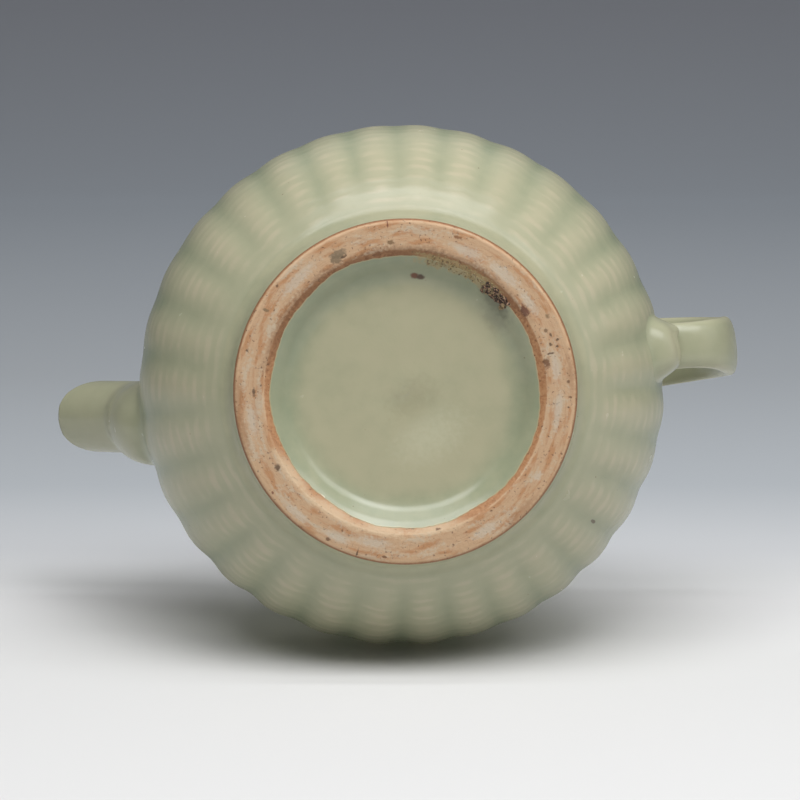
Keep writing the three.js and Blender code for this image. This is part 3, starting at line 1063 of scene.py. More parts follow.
@dataclass(frozen=True)
class Body:
    """The thrown body from the foot's seat to the rim, with its inside, as one glazed skin.

    Attributes:
        strainer_ring: radius of the circle that six of the strainer's holes lie on.
        shoulder_end: height where the shoulder ends and the neck begins.
        neck: radii and heights of the waisted neck.
        floor: radii and heights of the inside's floor, inwards.
        closing: radii and heights of the flat underside, hidden by the foot ring.
    """

    form: PotForm
    finish: Optional[Celadon]
    wall: float = 5.0
    floor_top: float = 12.0
    rim_top: float = 89.0
    mouth_radius: float = 22.5
    row_spacing: float = 0.85
    strainer_height: float = 54.0
    strainer_aside: float = 3.5
    strainer_hole: float = 1.6
    strainer_ring: float = 3.9
    shoulder_end: float = 80.4
    neck: Tuple[Pair, ...] = (
        (29.6, 81.5), (27.8, 82.5), (26.8, 83.9), (26.4, 85.4), (26.6, 86.8), (27.2, 87.9),
    )
    floor: Tuple[Pair, ...] = ((41.5, 12.6), (36.0, 12.0), (20.0, 11.9), (2.0, 11.8))
    closing: Tuple[Pair, ...] = ((2.0, 6.3), (43.0, 6.3))

    def _arc(self, radius: float, reach: float, turn: np.ndarray) -> np.ndarray:
        """Part of an ellipse about the belly: radius cos, and belly height + reach sin."""
        height = self.form.belly_height + reach * np.sin(turn)
        return np.stack([radius * np.cos(turn), height], axis=1)

    def _outside(self) -> np.ndarray:
        """The outline from the seat to the neck, then up the waisted neck to the rounded rim.

        Returns:
            Radii and heights, (rows, 2).
        """
        form = self.form
        seat = np.arcsin((form.belly_height - form.foot_height) / form.lower_reach)
        low = self._arc(form.belly_radius, form.lower_reach, np.linspace(-seat, 0, 60))
        end = np.arcsin((self.shoulder_end - form.belly_height) / form.upper_reach)
        high = self._arc(form.belly_radius, form.upper_reach, np.linspace(0, end, 60)[1:])
        rim, mouth = self.rim_top, self.mouth_radius
        neck = flowing([
            high[-1], *self.neck, (27.2, rim - 0.35), (26.5, rim), (25.0, rim + 0.02), (23.5, rim),
            (mouth + 0.2, rim - 0.5), (mouth, rim - 1.4),
        ], 8)[1:]
        return even(np.vstack([low, high, neck]), self.row_spacing)

    def _inside(self) -> np.ndarray:
        """The inside from the mouth down the shoulder and the wall to the middle of the floor.

        Returns:
            Radii and heights, (rows, 2).
        """
        form, mouth = self.form, self.mouth_radius
        inner = form.belly_radius - 1.0 - self.wall
        rise, drop = form.upper_reach - self.wall, form.lower_reach - self.wall
        top = np.arcsin(np.sqrt(1 - (form.neck_radius / inner) ** 2))
        high = self._arc(inner, rise, np.linspace(top, 0, 24))
        end = np.arcsin((form.belly_height - self.floor_top - 2.5) / drop)
        low = self._arc(inner, drop, np.linspace(0, -end, 20)[1:])
        neck = flowing([
            (mouth, self.rim_top - 1.4), (mouth, 84.0), (mouth, 81.0), (mouth + 0.8, 78.6), high[0],
        ], 6)[:-1]
        floor = flowing([low[-1], *self.floor], 6)[1:]
        return even(np.vstack([neck, high, low, floor]), 2.4)

    def seat_direction(self) -> np.ndarray:
        """The shading direction at the seat, square to the rows there, as the foot ring has it.

        Returns:
            One direction for each column.
        """
        outside = self._outside()
        ring = FootRing(self.form, None).outside_wall()
        three = self.form.ringed(np.stack([ring[-2], outside[0], outside[1]]))
        onto = np.roll(three[1], -1, axis=0) - np.roll(three[1], 1, axis=0)
        way = unit(np.cross(onto, three[2] - three[0]))
        out = three[1] - (0, 0, self.form.belly_height)
        return way * np.sign(leaning(way, out))[:, None]

    def _strainer(self) -> Sequence[bpy.types.Object]:
        """The drills of the strainer: six round a seventh, through the wall behind the spout.

        Returns:
            The drills.
        """
        drills = []
        for hole in range(7):
            turn, ring = hole * np.pi / 3, (0.0 if hole == 6 else self.strainer_ring)
            side = self.strainer_aside + ring * np.cos(turn)
            up = self.strainer_height + ring * np.sin(turn)
            drills.append(drill_bit((-80.0, side, up), (-46.0, side, up), self.strainer_hole))
        return drills

    def build(self) -> bpy.types.Object:
        """Builds the body, drills the strainer behind the spout and dresses it.

        Returns:
            The body's object.
        """
        form = self.form
        outside, inside = self._outside(), self._inside()
        profile = np.vstack([self.closing, outside, inside[1:]])
        seat = len(self.closing)
        rim = seat + len(outside)
        on_wall = np.zeros(len(profile))
        on_wall[seat:rim] = 1.0
        points = form.ringed(np.column_stack([profile, on_wall]))
        along = length_along(profile)
        along -= along[seat]
        press = form.press(profile[:, 1]) * on_wall / form.rib_depth
        crest = 1 - form.valley(form.even_angles)
        pooled = eased(-1.6, 1.0, along)[:, None]
        # Painted shade: the glaze is made darker and greener towards the belly, standing in for its
        # darkening towards the outline.
        risen = eased(14.0, 38.0, profile[:, 1])[:, None]
        ribbed = press[:, None] * (0.48 * crest[None, :] - 0.25) * pooled
        brim = 0.5 * bell(self.rim_top, 0.9, profile[:, 1])[:, None]
        thin = np.clip(0.30 + 0.36 * pooled - 0.24 * risen + ribbed + brim, 0.0, 1.0)
        normals = np.zeros(points.shape)
        normals[seat] = self.seat_direction()
        body = Skin(
            points, {"thin": thin}, along / form.ridge_pitch, form.rib_count,
            creases=(seat,), normals=normals,
        ).build("pot_body")
        drilled(body, self._strainer())
        body.data.materials.append(self.finish.make("celadon glaze over ribs"))
        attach(body, "pot")
        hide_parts("lower_bowl", "upper_bowl", "neck_collar")
        return body


@dataclass(frozen=True)
class FootRing:
    """The turned foot: a ring of bare clay round a shallow glazed recess, closed flat on top.

    Attributes:
        recess: radii and heights of the glazed recess and of the ring's inner wall.
        standing: radii and heights of the face that the pot stands on.
        closing: radii and heights of the flat top, hidden in the body.
    """

    form: PotForm
    finish: Optional[FootFinish]
    outer_radius: float = 41.4
    row_spacing: float = 0.3
    recess: Tuple[Pair, ...] = (
        (0.6, 5.66), (3.0, 5.72), (10.0, 5.68), (18.0, 5.5), (24.0, 5.26), (25.5, 5.12),
        (26.7, 4.86), (27.7, 4.47), (28.7, 3.84), (29.6, 3.06), (30.3, 2.45), (31.0, 1.88),
        (31.9, 1.3), (32.8, 0.72), (33.5, 0.3), (34.0, 0.08),
    )
    standing: Tuple[Pair, ...] = ((34.7, 0.0), (37.0, 0.0), (39.8, 0.0), (40.4, 0.1))
    closing: Tuple[Pair, ...] = ((43.6, 5.98), (2.0, 5.98))

    def outside_wall(self) -> np.ndarray:
        """The outer wall from the outer bevel to the seat, where it runs into the body.

        Returns:
            Radii and heights, (rows, 2).
        """
        rises = ((-0.4, 0.8), (0.0, 1.8), (0.4, 3.0), (1.1, 4.3), (1.95, 5.25))
        wall = flowing([
            *((self.outer_radius + out, up) for out, up in rises),
            (self.form.seat_radius, self.form.foot_height),
        ], 10)
        return even(wall, self.row_spacing)

    def _underside(self) -> np.ndarray:
        """The recess from its middle to the inner bevel, the standing face and the outer bevel.

        Returns:
            Radii and heights, (rows, 2).
        """
        line = flowing([*self.recess, *self.standing, (self.outer_radius - 0.4, 0.8)], 10)
        return even(line, self.row_spacing)

    def _layers(self, profile: np.ndarray, outer: np.ndarray) -> Dict[str, np.ndarray]:
        """The shares of bare clay, worn face, rim line, worn edge with its painted highlight line,
        and thin glaze.

        Args:
            profile: radii and heights.
            outer: which rows are on the outer wall.

        Returns:
            The layers by name.
        """
        radius, height = profile[:, :1], profile[:, 1:]
        turn, outer = self.form.even_angles[None, :], outer[:, None]
        waves = ((0.25, 2, 1.0), (0.2, 5, 0.4), (0.15, 11, 0.0))
        wander = sum(size * np.cos(count * turn + phase) for size, count, phase in waves)
        inner = eased(31.35, 33.15, radius + wander)
        face = eased(33.2, 34.2, radius) * eased(40.8, 40.4, radius)
        return {
            "bare": np.where(outer, eased(1.25, 0.65, height), inner),
            "worn": np.where(outer, 0.0, face),
            "rim": bell(40.98, 0.2, radius) * (height < 1.6),
            # Pale worn edges of the face, partly a painted highlight line.
            "edge": bell(40.3, 0.3, radius) + 0.5 * bell(33.9, 0.3, radius),
            "thin": np.where(outer, 0.42, 0.20 + 0.36 * eased(29.0, 22.0, radius)),
        }

    def build(self) -> bpy.types.Object:
        """Builds the ring, with the shares of bare, worn and line that its finish reads.

        Returns:
            The ring's object.
        """
        form = self.form
        under, wall = self._underside(), self.outside_wall()
        profile = np.vstack([under, wall[1:], self.closing])
        seat = len(profile) - len(self.closing) - 1
        points = form.ringed(np.column_stack([profile, np.zeros(len(profile))]))
        outer = np.arange(len(profile)) >= len(under)
        radius, height = profile[:, :1], profile[:, 1:]
        swirl = 0.16 * bell(0.0, 8.0, radius) * np.cos(form.even_angles[None, :] - radius / 2.0)
        middle = ~outer[:, None] & (radius > 1.0) & (height > 5.0)
        points[..., 2] += np.where(middle, swirl, 0.0)
        normals = np.zeros(points.shape)
        normals[seat] = Body(form, None).seat_direction()
        ring = Skin(
            points, self._layers(profile, outer), length_along(profile) / form.ridge_pitch,
            form.rib_count, creases=(seat,), normals=normals,
        ).build("foot_ring_clay")
        ring.data.materials.append(self.finish.make("bare clay and recess glaze"))
        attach(ring, "pot")
        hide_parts("foot_ring")
        return ring


@dataclass(frozen=True)
class Spout:
    """The spout: a swollen root luted on the body, then a tube that climbs and leans out.

    Attributes:
        reach: how far it reaches past the belly.
        valley: width of the luted valley round its root.
        lip: height over which its lip is rounded.
        climb: its way from root to mouth, as shares of the way outwards and upwards.
    """

    form: PotForm
    finish: Celadon
    radius: float = 9.3
    bore: float = 5.7
    mouth_bore: float = 7.0
    root_swell: float = 1.2
    root_length: float = 15.0
    reach: float = 26.1
    root_height: float = 54.0
    mouth_height: float = 90.0
    root_aside: float = 3.5
    mouth_aside: float = 1.4
    valley: float = 3.4
    lip: float = 1.3
    columns: int = 72
    fine_rows: int = 700
    climb: Tuple[Pair, ...] = (
        (0, -0.1), (0.24, -0.05), (0.35, 0.1), (0.4, 0.33), (0.51, 0.61), (0.74, 0.85),
        (1.01, 1.11),
    )

    def _line(self) -> np.ndarray:
        """The centre line, from inside the wall to above the mouth, as evenly spaced points.

        Returns:
            Points, (rows, 3).
        """
        start = float(self.form.outline(np.array(self.root_height))) - self.radius
        tip = self.form.belly_radius + self.reach - self.radius
        shares = np.array(self.climb)
        out = start + (tip - start) * shares[:, 0]
        up = self.root_height + (self.mouth_height - self.root_height) * shares[:, 1]
        aside = self.root_aside + (self.mouth_aside - self.root_aside) * shares[:, 1]
        line = flowing(np.stack([-out, aside, up], axis=1), 60)
        return even(line, length_along(line)[-1] / (self.fine_rows - 1))

    def _tube(self, line: np.ndarray, radius: np.ndarray) -> np.ndarray:
        """Circles of the given radii square to the line: centre + radius (cos out + sin across).

        Args:
            line: the circles' centres.
            radius: their radii.

        Returns:
            Points, (rows, columns, 3).
        """
        ahead = unit(np.gradient(line, axis=0))
        across = np.broadcast_to((0.0, 1.0, 0.0), line.shape)
        out = np.cross(ahead, across)
        turn = round_way(self.columns)[None, :, None]
        circle = np.cos(turn) * out[:, None] + np.sin(turn) * across[:, None]
        return line[:, None] + radius[:, None, None] * circle

    def build(self) -> bpy.types.Object:
        """Builds the spout: valley, outside, rounded lip and bore, joined inside the wall.

        Returns:
            The spout's object.
        """
        line = self._line()
        along = length_along(line)
        swell = self.root_swell * eased(2.3 * self.root_length, self.root_length, along)
        outer = self._tube(line, self.radius + swell)
        flare = (self.mouth_bore - self.bore) * eased(along[-1] - 22.0, along[-1] - 6.0, along)
        bore = self._tube(line, self.bore + flare)
        valley, start = self.form.rooted(outer, self.valley)
        lip_height = self.mouth_height - self.lip
        end = last_rise(outer[..., 2] - lip_height)
        shares = np.linspace(0, 1, 90)[1:, None]
        outside = read_rows(outer, start + (end - start) * shares)
        top = read_rows(outer, last_rise(outer[..., 2] - self.mouth_height)[None])[0]
        inner_top = read_rows(bore, last_rise(bore[..., 2] - self.mouth_height)[None])[0]
        inner_end = last_rise(bore[..., 2] - lip_height)
        middle = (top + inner_top) / 2
        inner_start = last_rise(self.form.gap(bore))
        shares = np.linspace(0, 1, 40)[:, None]
        inside = read_rows(bore, inner_end + (inner_start - inner_end) * shares)
        over = bent(outside[-1], top, middle, 6)[1:]
        under = bent(middle, inner_top, inside[0], 6)[1:]
        sunk = self.form.sunk(inside[-1])
        points = np.concatenate([valley, outside, over, under, inside[1:], sunk[None]])
        thin = np.concatenate([
            [0.15], np.linspace(0.2, 0.5, len(valley) - 1), np.full(len(outside), 0.62),
            np.full(len(over) + len(under), 0.85), np.full(len(inside), 0.4),
        ])
        spout = Skin(points, {"thin": thin[:, None]}, ring=True).build("spout_tube")
        spout.data.materials.append(self.finish.make("celadon glaze on the spout"))
        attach(spout, "pot")
        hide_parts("spout")
        return spout


@dataclass(frozen=True)
class Handle:
    """The strap handle and the small tongue of clay that is pressed on under its lower end.

    Attributes:
        reach: how far the strap reaches past the belly.
        corner: power that rounds its section, 1 for an oval and less for a squarer one.
        wall: how deep its ends begin inside the belly.
        tongue_push: direction that the tongue stands out in.
        lobe_place: the tongue's second bump, aside and up.
        climb: the strap's way up, as shares of the way outwards, upwards and aside.
        fall: its way back to the shoulder, in the same shares.
    """

    form: PotForm
    finish: Celadon
    reach: float = 20.1
    lower_height: float = 39.0
    upper_height: float = 75.0
    top_height: float = 88.0
    lower_width: float = 11.4
    bend_width: float = 15.0
    upper_width: float = 18.8
    thickness: float = 5.2
    lower_aside: float = -2.5
    upper_aside: float = 0.4
    corner: float = 0.8
    wall: float = 5.0
    lower_valley: float = 2.6
    upper_valley: float = 3.6
    columns: int = 72
    fine_rows: int = 900
    tongue_height: float = 34.2
    tongue_reach: Pair = (8.2, 8.0)
    tongue_rise: float = 4.9
    tongue_corner: float = 0.7
    tongue_push: Triple = (0.97, 0.0, -0.24)
    lobe_place: Pair = (-6.6, 37.6)
    lobe_reach: Pair = (1.7, 2.6)
    lobe_rise: float = 1.5
    climb: Tuple[Triple, ...] = (
        (0, 0, 0), (0.38, 0.005, 0), (0.78, 0.09, 0.2), (0.985, 0.3, 0.6), (0.99, 0.56, 0.85),
    )
    fall: Tuple[Triple, ...] = ((0.86, 0.82, 0.95), (0.58, 0.985, 1), (0.31, 0.97, 1))

    def _line(self) -> np.ndarray:
        """The strap's centre line between two points inside the wall, evenly spaced.

        Returns:
            Points, (rows, 3).
        """
        lower = float(self.form.outline(np.array(self.lower_height))) - self.wall
        upper = float(self.form.outline(np.array(self.upper_height))) - self.wall
        far = self.form.belly_radius + self.reach - self.thickness / 2
        rise = self.top_height - self.lower_height
        knots = []
        for root, shares in ((lower, np.array(self.climb)), (upper, np.array(self.fall))):
            knots.append(np.stack([
                root + (far - root) * shares[:, 0],
                self.lower_aside + (self.upper_aside - self.lower_aside) * shares[:, 2],
                self.lower_height + rise * shares[:, 1],
            ], axis=1))
        knots.append(np.array([[upper, self.upper_aside, self.upper_height - self.wall]]))
        line = flowing(np.vstack(knots), 60)
        return even(line, length_along(line)[-1] / (self.fine_rows - 1))

    def _strap(self) -> bpy.types.Object:
        """Builds the strap: a flat section with rounded edges, carried along the line.

        The section is a squared circle: each of cosine and sine is raised to the corner's power
        with its sign kept, times half the thickness and half the width.

        Returns:
            The strap's object.
        """
        line = self._line()
        share = np.linspace(0, 1, len(line))
        ahead = unit(np.gradient(line, axis=0))
        side = np.array((0.0, 1.0, 0.0))
        across = unit(side - (ahead @ side)[:, None] * ahead)
        out = np.cross(ahead, across)
        turn = round_way(self.columns)
        thick = squared(np.cos(turn), self.corner) * self.thickness / 2
        wide = squared(np.sin(turn), self.corner)
        half = eased_list((
            (0, self.lower_width), (0.1, self.lower_width), (0.34, self.bend_width),
            (0.8, self.upper_width),
        ), share) / 2
        grid = (
            line[:, None]
            + thick[None, :, None] * out[:, None]
            + half[:, None, None] * wide[None, :, None] * across[:, None]
        )
        half_way = len(line) // 2
        lower, start = self.form.rooted(grid[:half_way], self.lower_valley)
        upper, back = self.form.rooted(grid[::-1][:half_way], self.upper_valley)
        end = len(line) - 1 - back
        rows = read_rows(grid, start + (end - start) * np.linspace(0, 1, 150)[1:-1, None])
        points = np.concatenate([lower, rows, upper[::-1]])
        edges = eased(0.75, 1.0, np.abs(wide))[None, :]
        rising, falling = np.linspace(0.0, 1.0, len(lower)), np.linspace(1.0, 0.0, len(upper))
        away = np.concatenate([rising, np.ones(len(rows)), falling])[:, None]
        thin = 0.12 + 0.36 * away + 0.22 * away * edges
        strap = Skin(points, {"thin": thin}).build("handle_strap_glazed")
        strap.data.materials.append(self.finish.make("celadon glaze on the handle"))
        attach(strap, "pot")
        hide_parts("handle_strap")
        return strap

    def _tongue(self) -> bpy.types.Object:
        """Builds the tongue: a soft bump that rises out of the belly under the strap.

        Each point of a squarish patch of the belly is pushed outwards and a little down by
        height (1 + cos(pi rho^2.3)) / 2, with a second, smaller bump on its -Y side.

        Returns:
            The tongue's object.
        """
        rho = np.linspace(0.02, 1.0, 34)[:, None]
        turn = round_way(120)[None, :]
        wide, tall = self.tongue_reach
        side = self.lower_aside + wide * rho * squared(np.cos(turn), self.tongue_corner)
        up = self.tongue_height + tall * rho * squared(np.sin(turn), self.tongue_corner)
        belly = np.stack([np.full(side.shape, 60.0), side, up], axis=-1)
        ground = self.form.dropped(belly)
        main = self.tongue_rise * (0.5 + 0.5 * np.cos(np.pi * rho**2.3))
        lobe = self.lobe_rise * (1 - rho**6)
        for place, reach, here in zip(self.lobe_place, self.lobe_reach, (side, up)):
            lobe = lobe * bell(place, reach, here)
        top = ground + (main + lobe)[..., None] * unit(np.array(self.tongue_push))
        points = np.concatenate([top, self.form.sunk(ground[-1])[None]])
        # Paler towards the crest, where the glaze runs thin; the whole tongue is also made paler as
        # a painted highlight.
        thin = np.concatenate([0.40 + 0.5 * (1 - rho[:, 0] ** 2), [0.38]])
        tongue = Skin(points, {"thin": thin[:, None]}).build("handle_tongue")
        tongue.data.materials.append(self.finish.make("celadon glaze on the tongue"))
        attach(tongue, "pot")
        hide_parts("handle_pad")
        return tongue

    def build(self) -> Tuple[bpy.types.Object, bpy.types.Object]:
        """Builds the strap and its tongue."""
        return self._strap(), self._tongue()


@dataclass(frozen=True)
class Lid:
    """The lid: a low ribbed dome with a vent, a bare flange that stands in the mouth, a knob.

    Attributes:
        base: height of its brim's underside.
        edge: thickness of its edge.
        rise: the dome's height over the edge.
        dome: radii, and how far the dome's top lies under its middle there.
        hollow: radii, and how far the underside lies over the base there.
        bud: the knob's radii, and their heights over the dome.
    """

    form: PotForm
    finish: Celadon
    clay: BareClay
    base: float = 89.3
    radius: float = 29.1
    edge: float = 2.6
    rise: float = 8.5
    rib_depth: float = 0.7
    flange_radius: float = 21.7
    flange_inner: float = 18.7
    flange_depth: float = 7.0
    vent_place: float = 13.1
    vent_radius: float = 1.5
    dome: Tuple[Pair, ...] = (
        (1.0, 0.0), (5.0, 0.02), (9.9, 0.42), (16.3, 1.9), (22.7, 4.25), (27.0, 6.8),
    )
    hollow: Tuple[Pair, ...] = ((18.3, 2.6), (15.9, 4.9), (11.2, 6.8), (5.0, 7.5), (1.0, 7.5))
    bud: Tuple[Pair, ...] = (
        (6.2, -0.15), (5.3, 0.2), (4.7, 0.9), (4.6, 1.8), (5.6, 3.2), (6.9, 4.8), (7.5, 6.9),
        (6.6, 9.3), (4.3, 11.3), (2.0, 12.5), (0.5, 13.0),
    )

    @property
    def seat(self) -> float:
        """Height where the knob stands on the dome."""
        return self.base + self.edge + self.rise

    def _cap(self) -> bpy.types.Object:
        """Builds the dome, ribbed like the body, and drills its vent.

        Returns:
            The dome's object.
        """
        base, edge, seat = self.base, self.base + self.edge, self.seat
        top = even(flowing([
            *((radius, seat - drop) for radius, drop in self.dome),
            (28.9, edge - 0.1), (self.radius, edge - 1.1), (28.7, base + 0.4),
            (28.0, base + 0.02), (26.0, base), (21.0, base), (self.flange_inner, base + 0.05),
        ], 10), 0.6)
        under = even(flowing([
            (self.flange_inner, base + 0.05),
            *((radius, base + rise) for radius, rise in self.hollow),
        ], 5), 2.0)
        profile = np.vstack([top, under[1:]])
        radius, height = profile[:, :1], profile[:, 1:]
        on_top = (np.arange(len(profile))[:, None] < len(top)) & (height > base + 0.4)
        depth = self.rib_depth * eased(6.0, 15.0, radius) * on_top
        grid = spun(profile, self.form.even_angles)
        groove = self.form.valley(self.form.even_angles)[None, :]
        grid[..., :2] *= (1 - depth * groove / radius)[..., None]
        grid[..., 2] -= 0.5 * depth * groove * eased(29.0, 20.0, radius)
        thin = 0.45 + (0.45 * (1 - groove) - 0.3) * (depth / self.rib_depth)
        brim = 0.4 * bell(edge - 0.6, 1.2, height) * on_top
        cap = Skin(grid, {"thin": np.clip(thin + brim, 0, 1)}).build("lid_dome")
        place = (self.vent_place, 0.0)
        drilled(cap, [drill_bit((*place, base - 3.0), (*place, seat + 4.0), self.vent_radius)])
        cap.data.materials.append(self.finish.make("celadon glaze on the lid"))
        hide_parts("lid_cap")
        return cap

    def _flange(self) -> bpy.types.Object:
        """Builds the flange: a plain turned ring of bare clay with a rounded foot.

        Returns:
            The flange's object.
        """
        base, foot = self.base, self.base - self.flange_depth
        inner, outer = self.flange_inner, self.flange_radius
        line = flowing([
            (inner, base), (inner, foot + 2.0), (inner + 0.15, foot + 0.5),
            (inner + 0.7, foot + 0.05), (outer - 1.0, foot), (outer - 0.25, foot + 0.35),
            (outer, foot + 1.2), (outer, base),
        ], 8)
        grid = spun(even(line, 0.6), round_way(120))
        layers = {"worn": 0.5, "rim": 0.0, "edge": 0.0}
        along = np.arange(len(grid)) / 7.0
        flange = Skin(grid, layers, along, 20.0, ring=True).build("lid_flange_clay")
        flange.data.materials.append(self.clay.make("bare clay of the flange"))
        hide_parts("lid_flange")
        return flange

    def _knob(self) -> bpy.types.Object:
        """Builds the bud knob, drawn in where it is luted on the dome.

        Returns:
            The knob's object.
        """
        seat, tall = self.seat, self.bud[-1][1]
        line = flowing([(radius, seat + height) for radius, height in self.bud], 10)
        grid = spun(even(line, 0.35), round_way(96))
        thin = eased_list([(seat, 0.15), (seat + 5.0, 0.5), (seat + tall, 0.95)], grid[..., 2])
        knob = Skin(grid, {"thin": thin}).build("lid_bud")
        knob.data.materials.append(self.finish.make("celadon glaze on the knob"))
        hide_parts("lid_knob")
        return knob

    def build(self) -> Tuple[bpy.types.Object, ...]:
        """Builds the lid's pieces and lets them ride on the lid.

        Returns:
            The pieces.
        """
        pieces = (self._cap(), self._flange(), self._knob())
        for piece in pieces:
            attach(piece, "lid")
        return pieces


@dataclass(frozen=True)
class Grit:
    """Kiln grit burnt on to the inner edge of the foot ring: a crusty clot and a fringe of sand.

    Attributes:
        finish: its finish.
        clot: angles about the foot in degrees, and radii, between which the clot's lumps lie.
        fringe: the same for the sand.
        clot_lumps: how many lumps the clot has.
        fringe_lumps: how many grains the fringe has.
        wall: radii of the ring's inner wall, and its heights there.
    """

    finish: KilnGrit
    clot: Band = ((-47.0, -33.0), (30.2, 32.5))
    fringe: Band = ((-75.0, -43.0), (30.6, 33.0))
    clot_lumps: int = 120
    fringe_lumps: int = 200
    wall: Tuple[Tuple[float, ...], ...] = ((29.4, 31.0, 32.8, 34.0), (3.4, 1.88, 0.72, 0.1))

    def _lump(
        self, random: np.random.Generator, size: float, sandy: float, band: Band,
    ) -> Skin:
        """One lump: a ball whose radius is 1 plus cosines of its two angles, scaled and placed.

        It lies on the foot ring's inner wall, whose height falls with the radius.

        Args:
            random: the numbers to draw from.
            size: its rough radius.
            sandy: 1 for sand and 0 for dark crust.
            band: the angles and radii to lie between.

        Returns:
            The lump's skin.
        """
        tilt = np.linspace(0.15, np.pi - 0.15, 9)[:, None]
        turn = round_way(14)[None, :]
        rough = np.ones((9, 14))
        for _ in range(4):
            m, n = random.integers(1, 5), random.integers(1, 5)
            wave = np.cos(m * turn + random.uniform(0, 6.3))
            rough += 0.14 * wave * np.cos(n * tilt + random.uniform(0, 6.3))
        circle = (np.sin(tilt) * np.cos(turn), np.sin(tilt) * np.sin(turn))
        ball = np.stack([*circle, np.cos(tilt) + 0 * turn], axis=-1)
        angle = np.radians(random.uniform(*band[0]))
        radius = random.uniform(*band[1])
        level = float(np.interp(radius, *self.wall))
        centre = np.array((radius * np.cos(angle), radius * np.sin(angle), level + 0.2 * size))
        stretch = size * random.uniform(0.7, 1.3, 3)
        return Skin(centre + ball * rough[..., None] * stretch, {"worn": sandy})

    def build(self) -> bpy.types.Object:
        """Builds the lumps as one piece.

        Returns:
            The grit's object.
        """
        random = np.random.default_rng(5)
        skins = []
        for _ in range(self.clot_lumps):
            size, sandy = random.uniform(0.2, 0.6), random.choice((0.0, 0.0, 0.0, 0.5))
            skins.append(self._lump(random, size, sandy, self.clot))
        for _ in range(self.fringe_lumps):
            sandy = random.choice((0.35, 0.7, 1.0, 1.0))
            skins.append(self._lump(random, random.uniform(0.08, 0.22), sandy, self.fringe))
        parts = [skin.build("grit_lump") for skin in skins]
        with bpy.context.temp_override(active_object=parts[0], selected_editable_objects=parts):
            bpy.ops.object.join()
        grit = parts[0]
        grit.name = "kiln_grit"
        grit.data.materials.append(self.finish.make("kiln grit"))
        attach(grit, "pot")
        return grit


# The stage


@dataclass(frozen=True)
class Sight:
    """The camera's place and directions in the pot's frame, which also place sheet and lamps.

    Attributes:
        place: where it stands, in millimetres.
        back: its direction away from the pot.
        upward: roughly its upward direction.
        aim: the pot's middle, which other places are given from.
        lens: its focal length in millimetres, on a film 36 wide.
        clip: its nearest and furthest sight in metres.
    """

    place: Triple = (-13.2, -37.63, -904.2)
    back: Triple = (-0.0129, -0.0435, -0.9990)
    upward: Triple = (0.108, -0.993, 0.0419)
    aim: Triple = (0.0, 0.0, 44.0)
    lens: float = 171.5
    clip: Pair = (0.01, 30.0)

    def axes(self) -> Tuple[np.ndarray, np.ndarray, np.ndarray]:
        """Right, up and back as unit vectors square to each other."""
        back = unit(np.array(self.back))
        right = unit(np.cross(np.array(self.upward), back))
        return right, np.cross(back, right), back

    def point(self, spot: Triple) -> np.ndarray:
        """A point so many millimetres right, up and back from the pot's middle, in its frame."""
        return np.array(self.aim) + np.array(spot) @ np.stack(self.axes())

    def build(self) -> bpy.types.Object:
        """Makes the scene's camera.

        Returns:
            The camera's object.
        """
        data = bpy.data.cameras.new("camera")
        data.lens = self.lens
        data.sensor_width = 36.0
        data.clip_start, data.clip_end = self.clip
        camera = placed("camera", data)
        frame = np.eye(4)
        frame[:3, :3] = np.stack(self.axes(), axis=1)
        frame[:3, 3] = np.array(self.place) * MM
        camera.matrix_world = Matrix(frame.tolist())
        bpy.context.scene.camera = camera
        return camera


@dataclass(frozen=True)
class Lamp:
    """A soft panel lamp that faces the pot.

    Attributes:
        name: its name.
        spot: millimetres right, up and back from the pot, as the camera sees it.
        size: its width and depth in metres.
        power: its power in watts.
        hidden: it stands below the sheet, lights the far side through it and isn't mirrored.
    """

    name: str
    spot: Triple
    size: Pair
    power: float
    hidden: bool = False

    def build(self, sight: Sight) -> bpy.types.Object:
        """Makes the lamp and turns it to the pot.

        Args:
            sight: the camera's directions, along which its spot is given.

        Returns:
            The lamp's object.
        """
        data = bpy.data.lights.new(self.name, "AREA")
        data.shape = "RECTANGLE"
        data.size, data.size_y = self.size
        data.energy = self.power
        lamp = placed(self.name, data)
        lamp.visible_glossy = lamp.visible_camera = not self.hidden
        lamp.location = Vector(sight.point(self.spot) * MM)
        back = (lamp.location - Vector(sight.aim) * MM).normalized()
        up = back.cross(Vector(sight.axes()[0].tolist())).normalized()
        side = up.cross(back).normalized()
        lamp.rotation_mode = "QUATERNION"
        lamp.rotation_quaternion = Matrix((side, up, back)).transposed().to_quaternion()
        return lamp


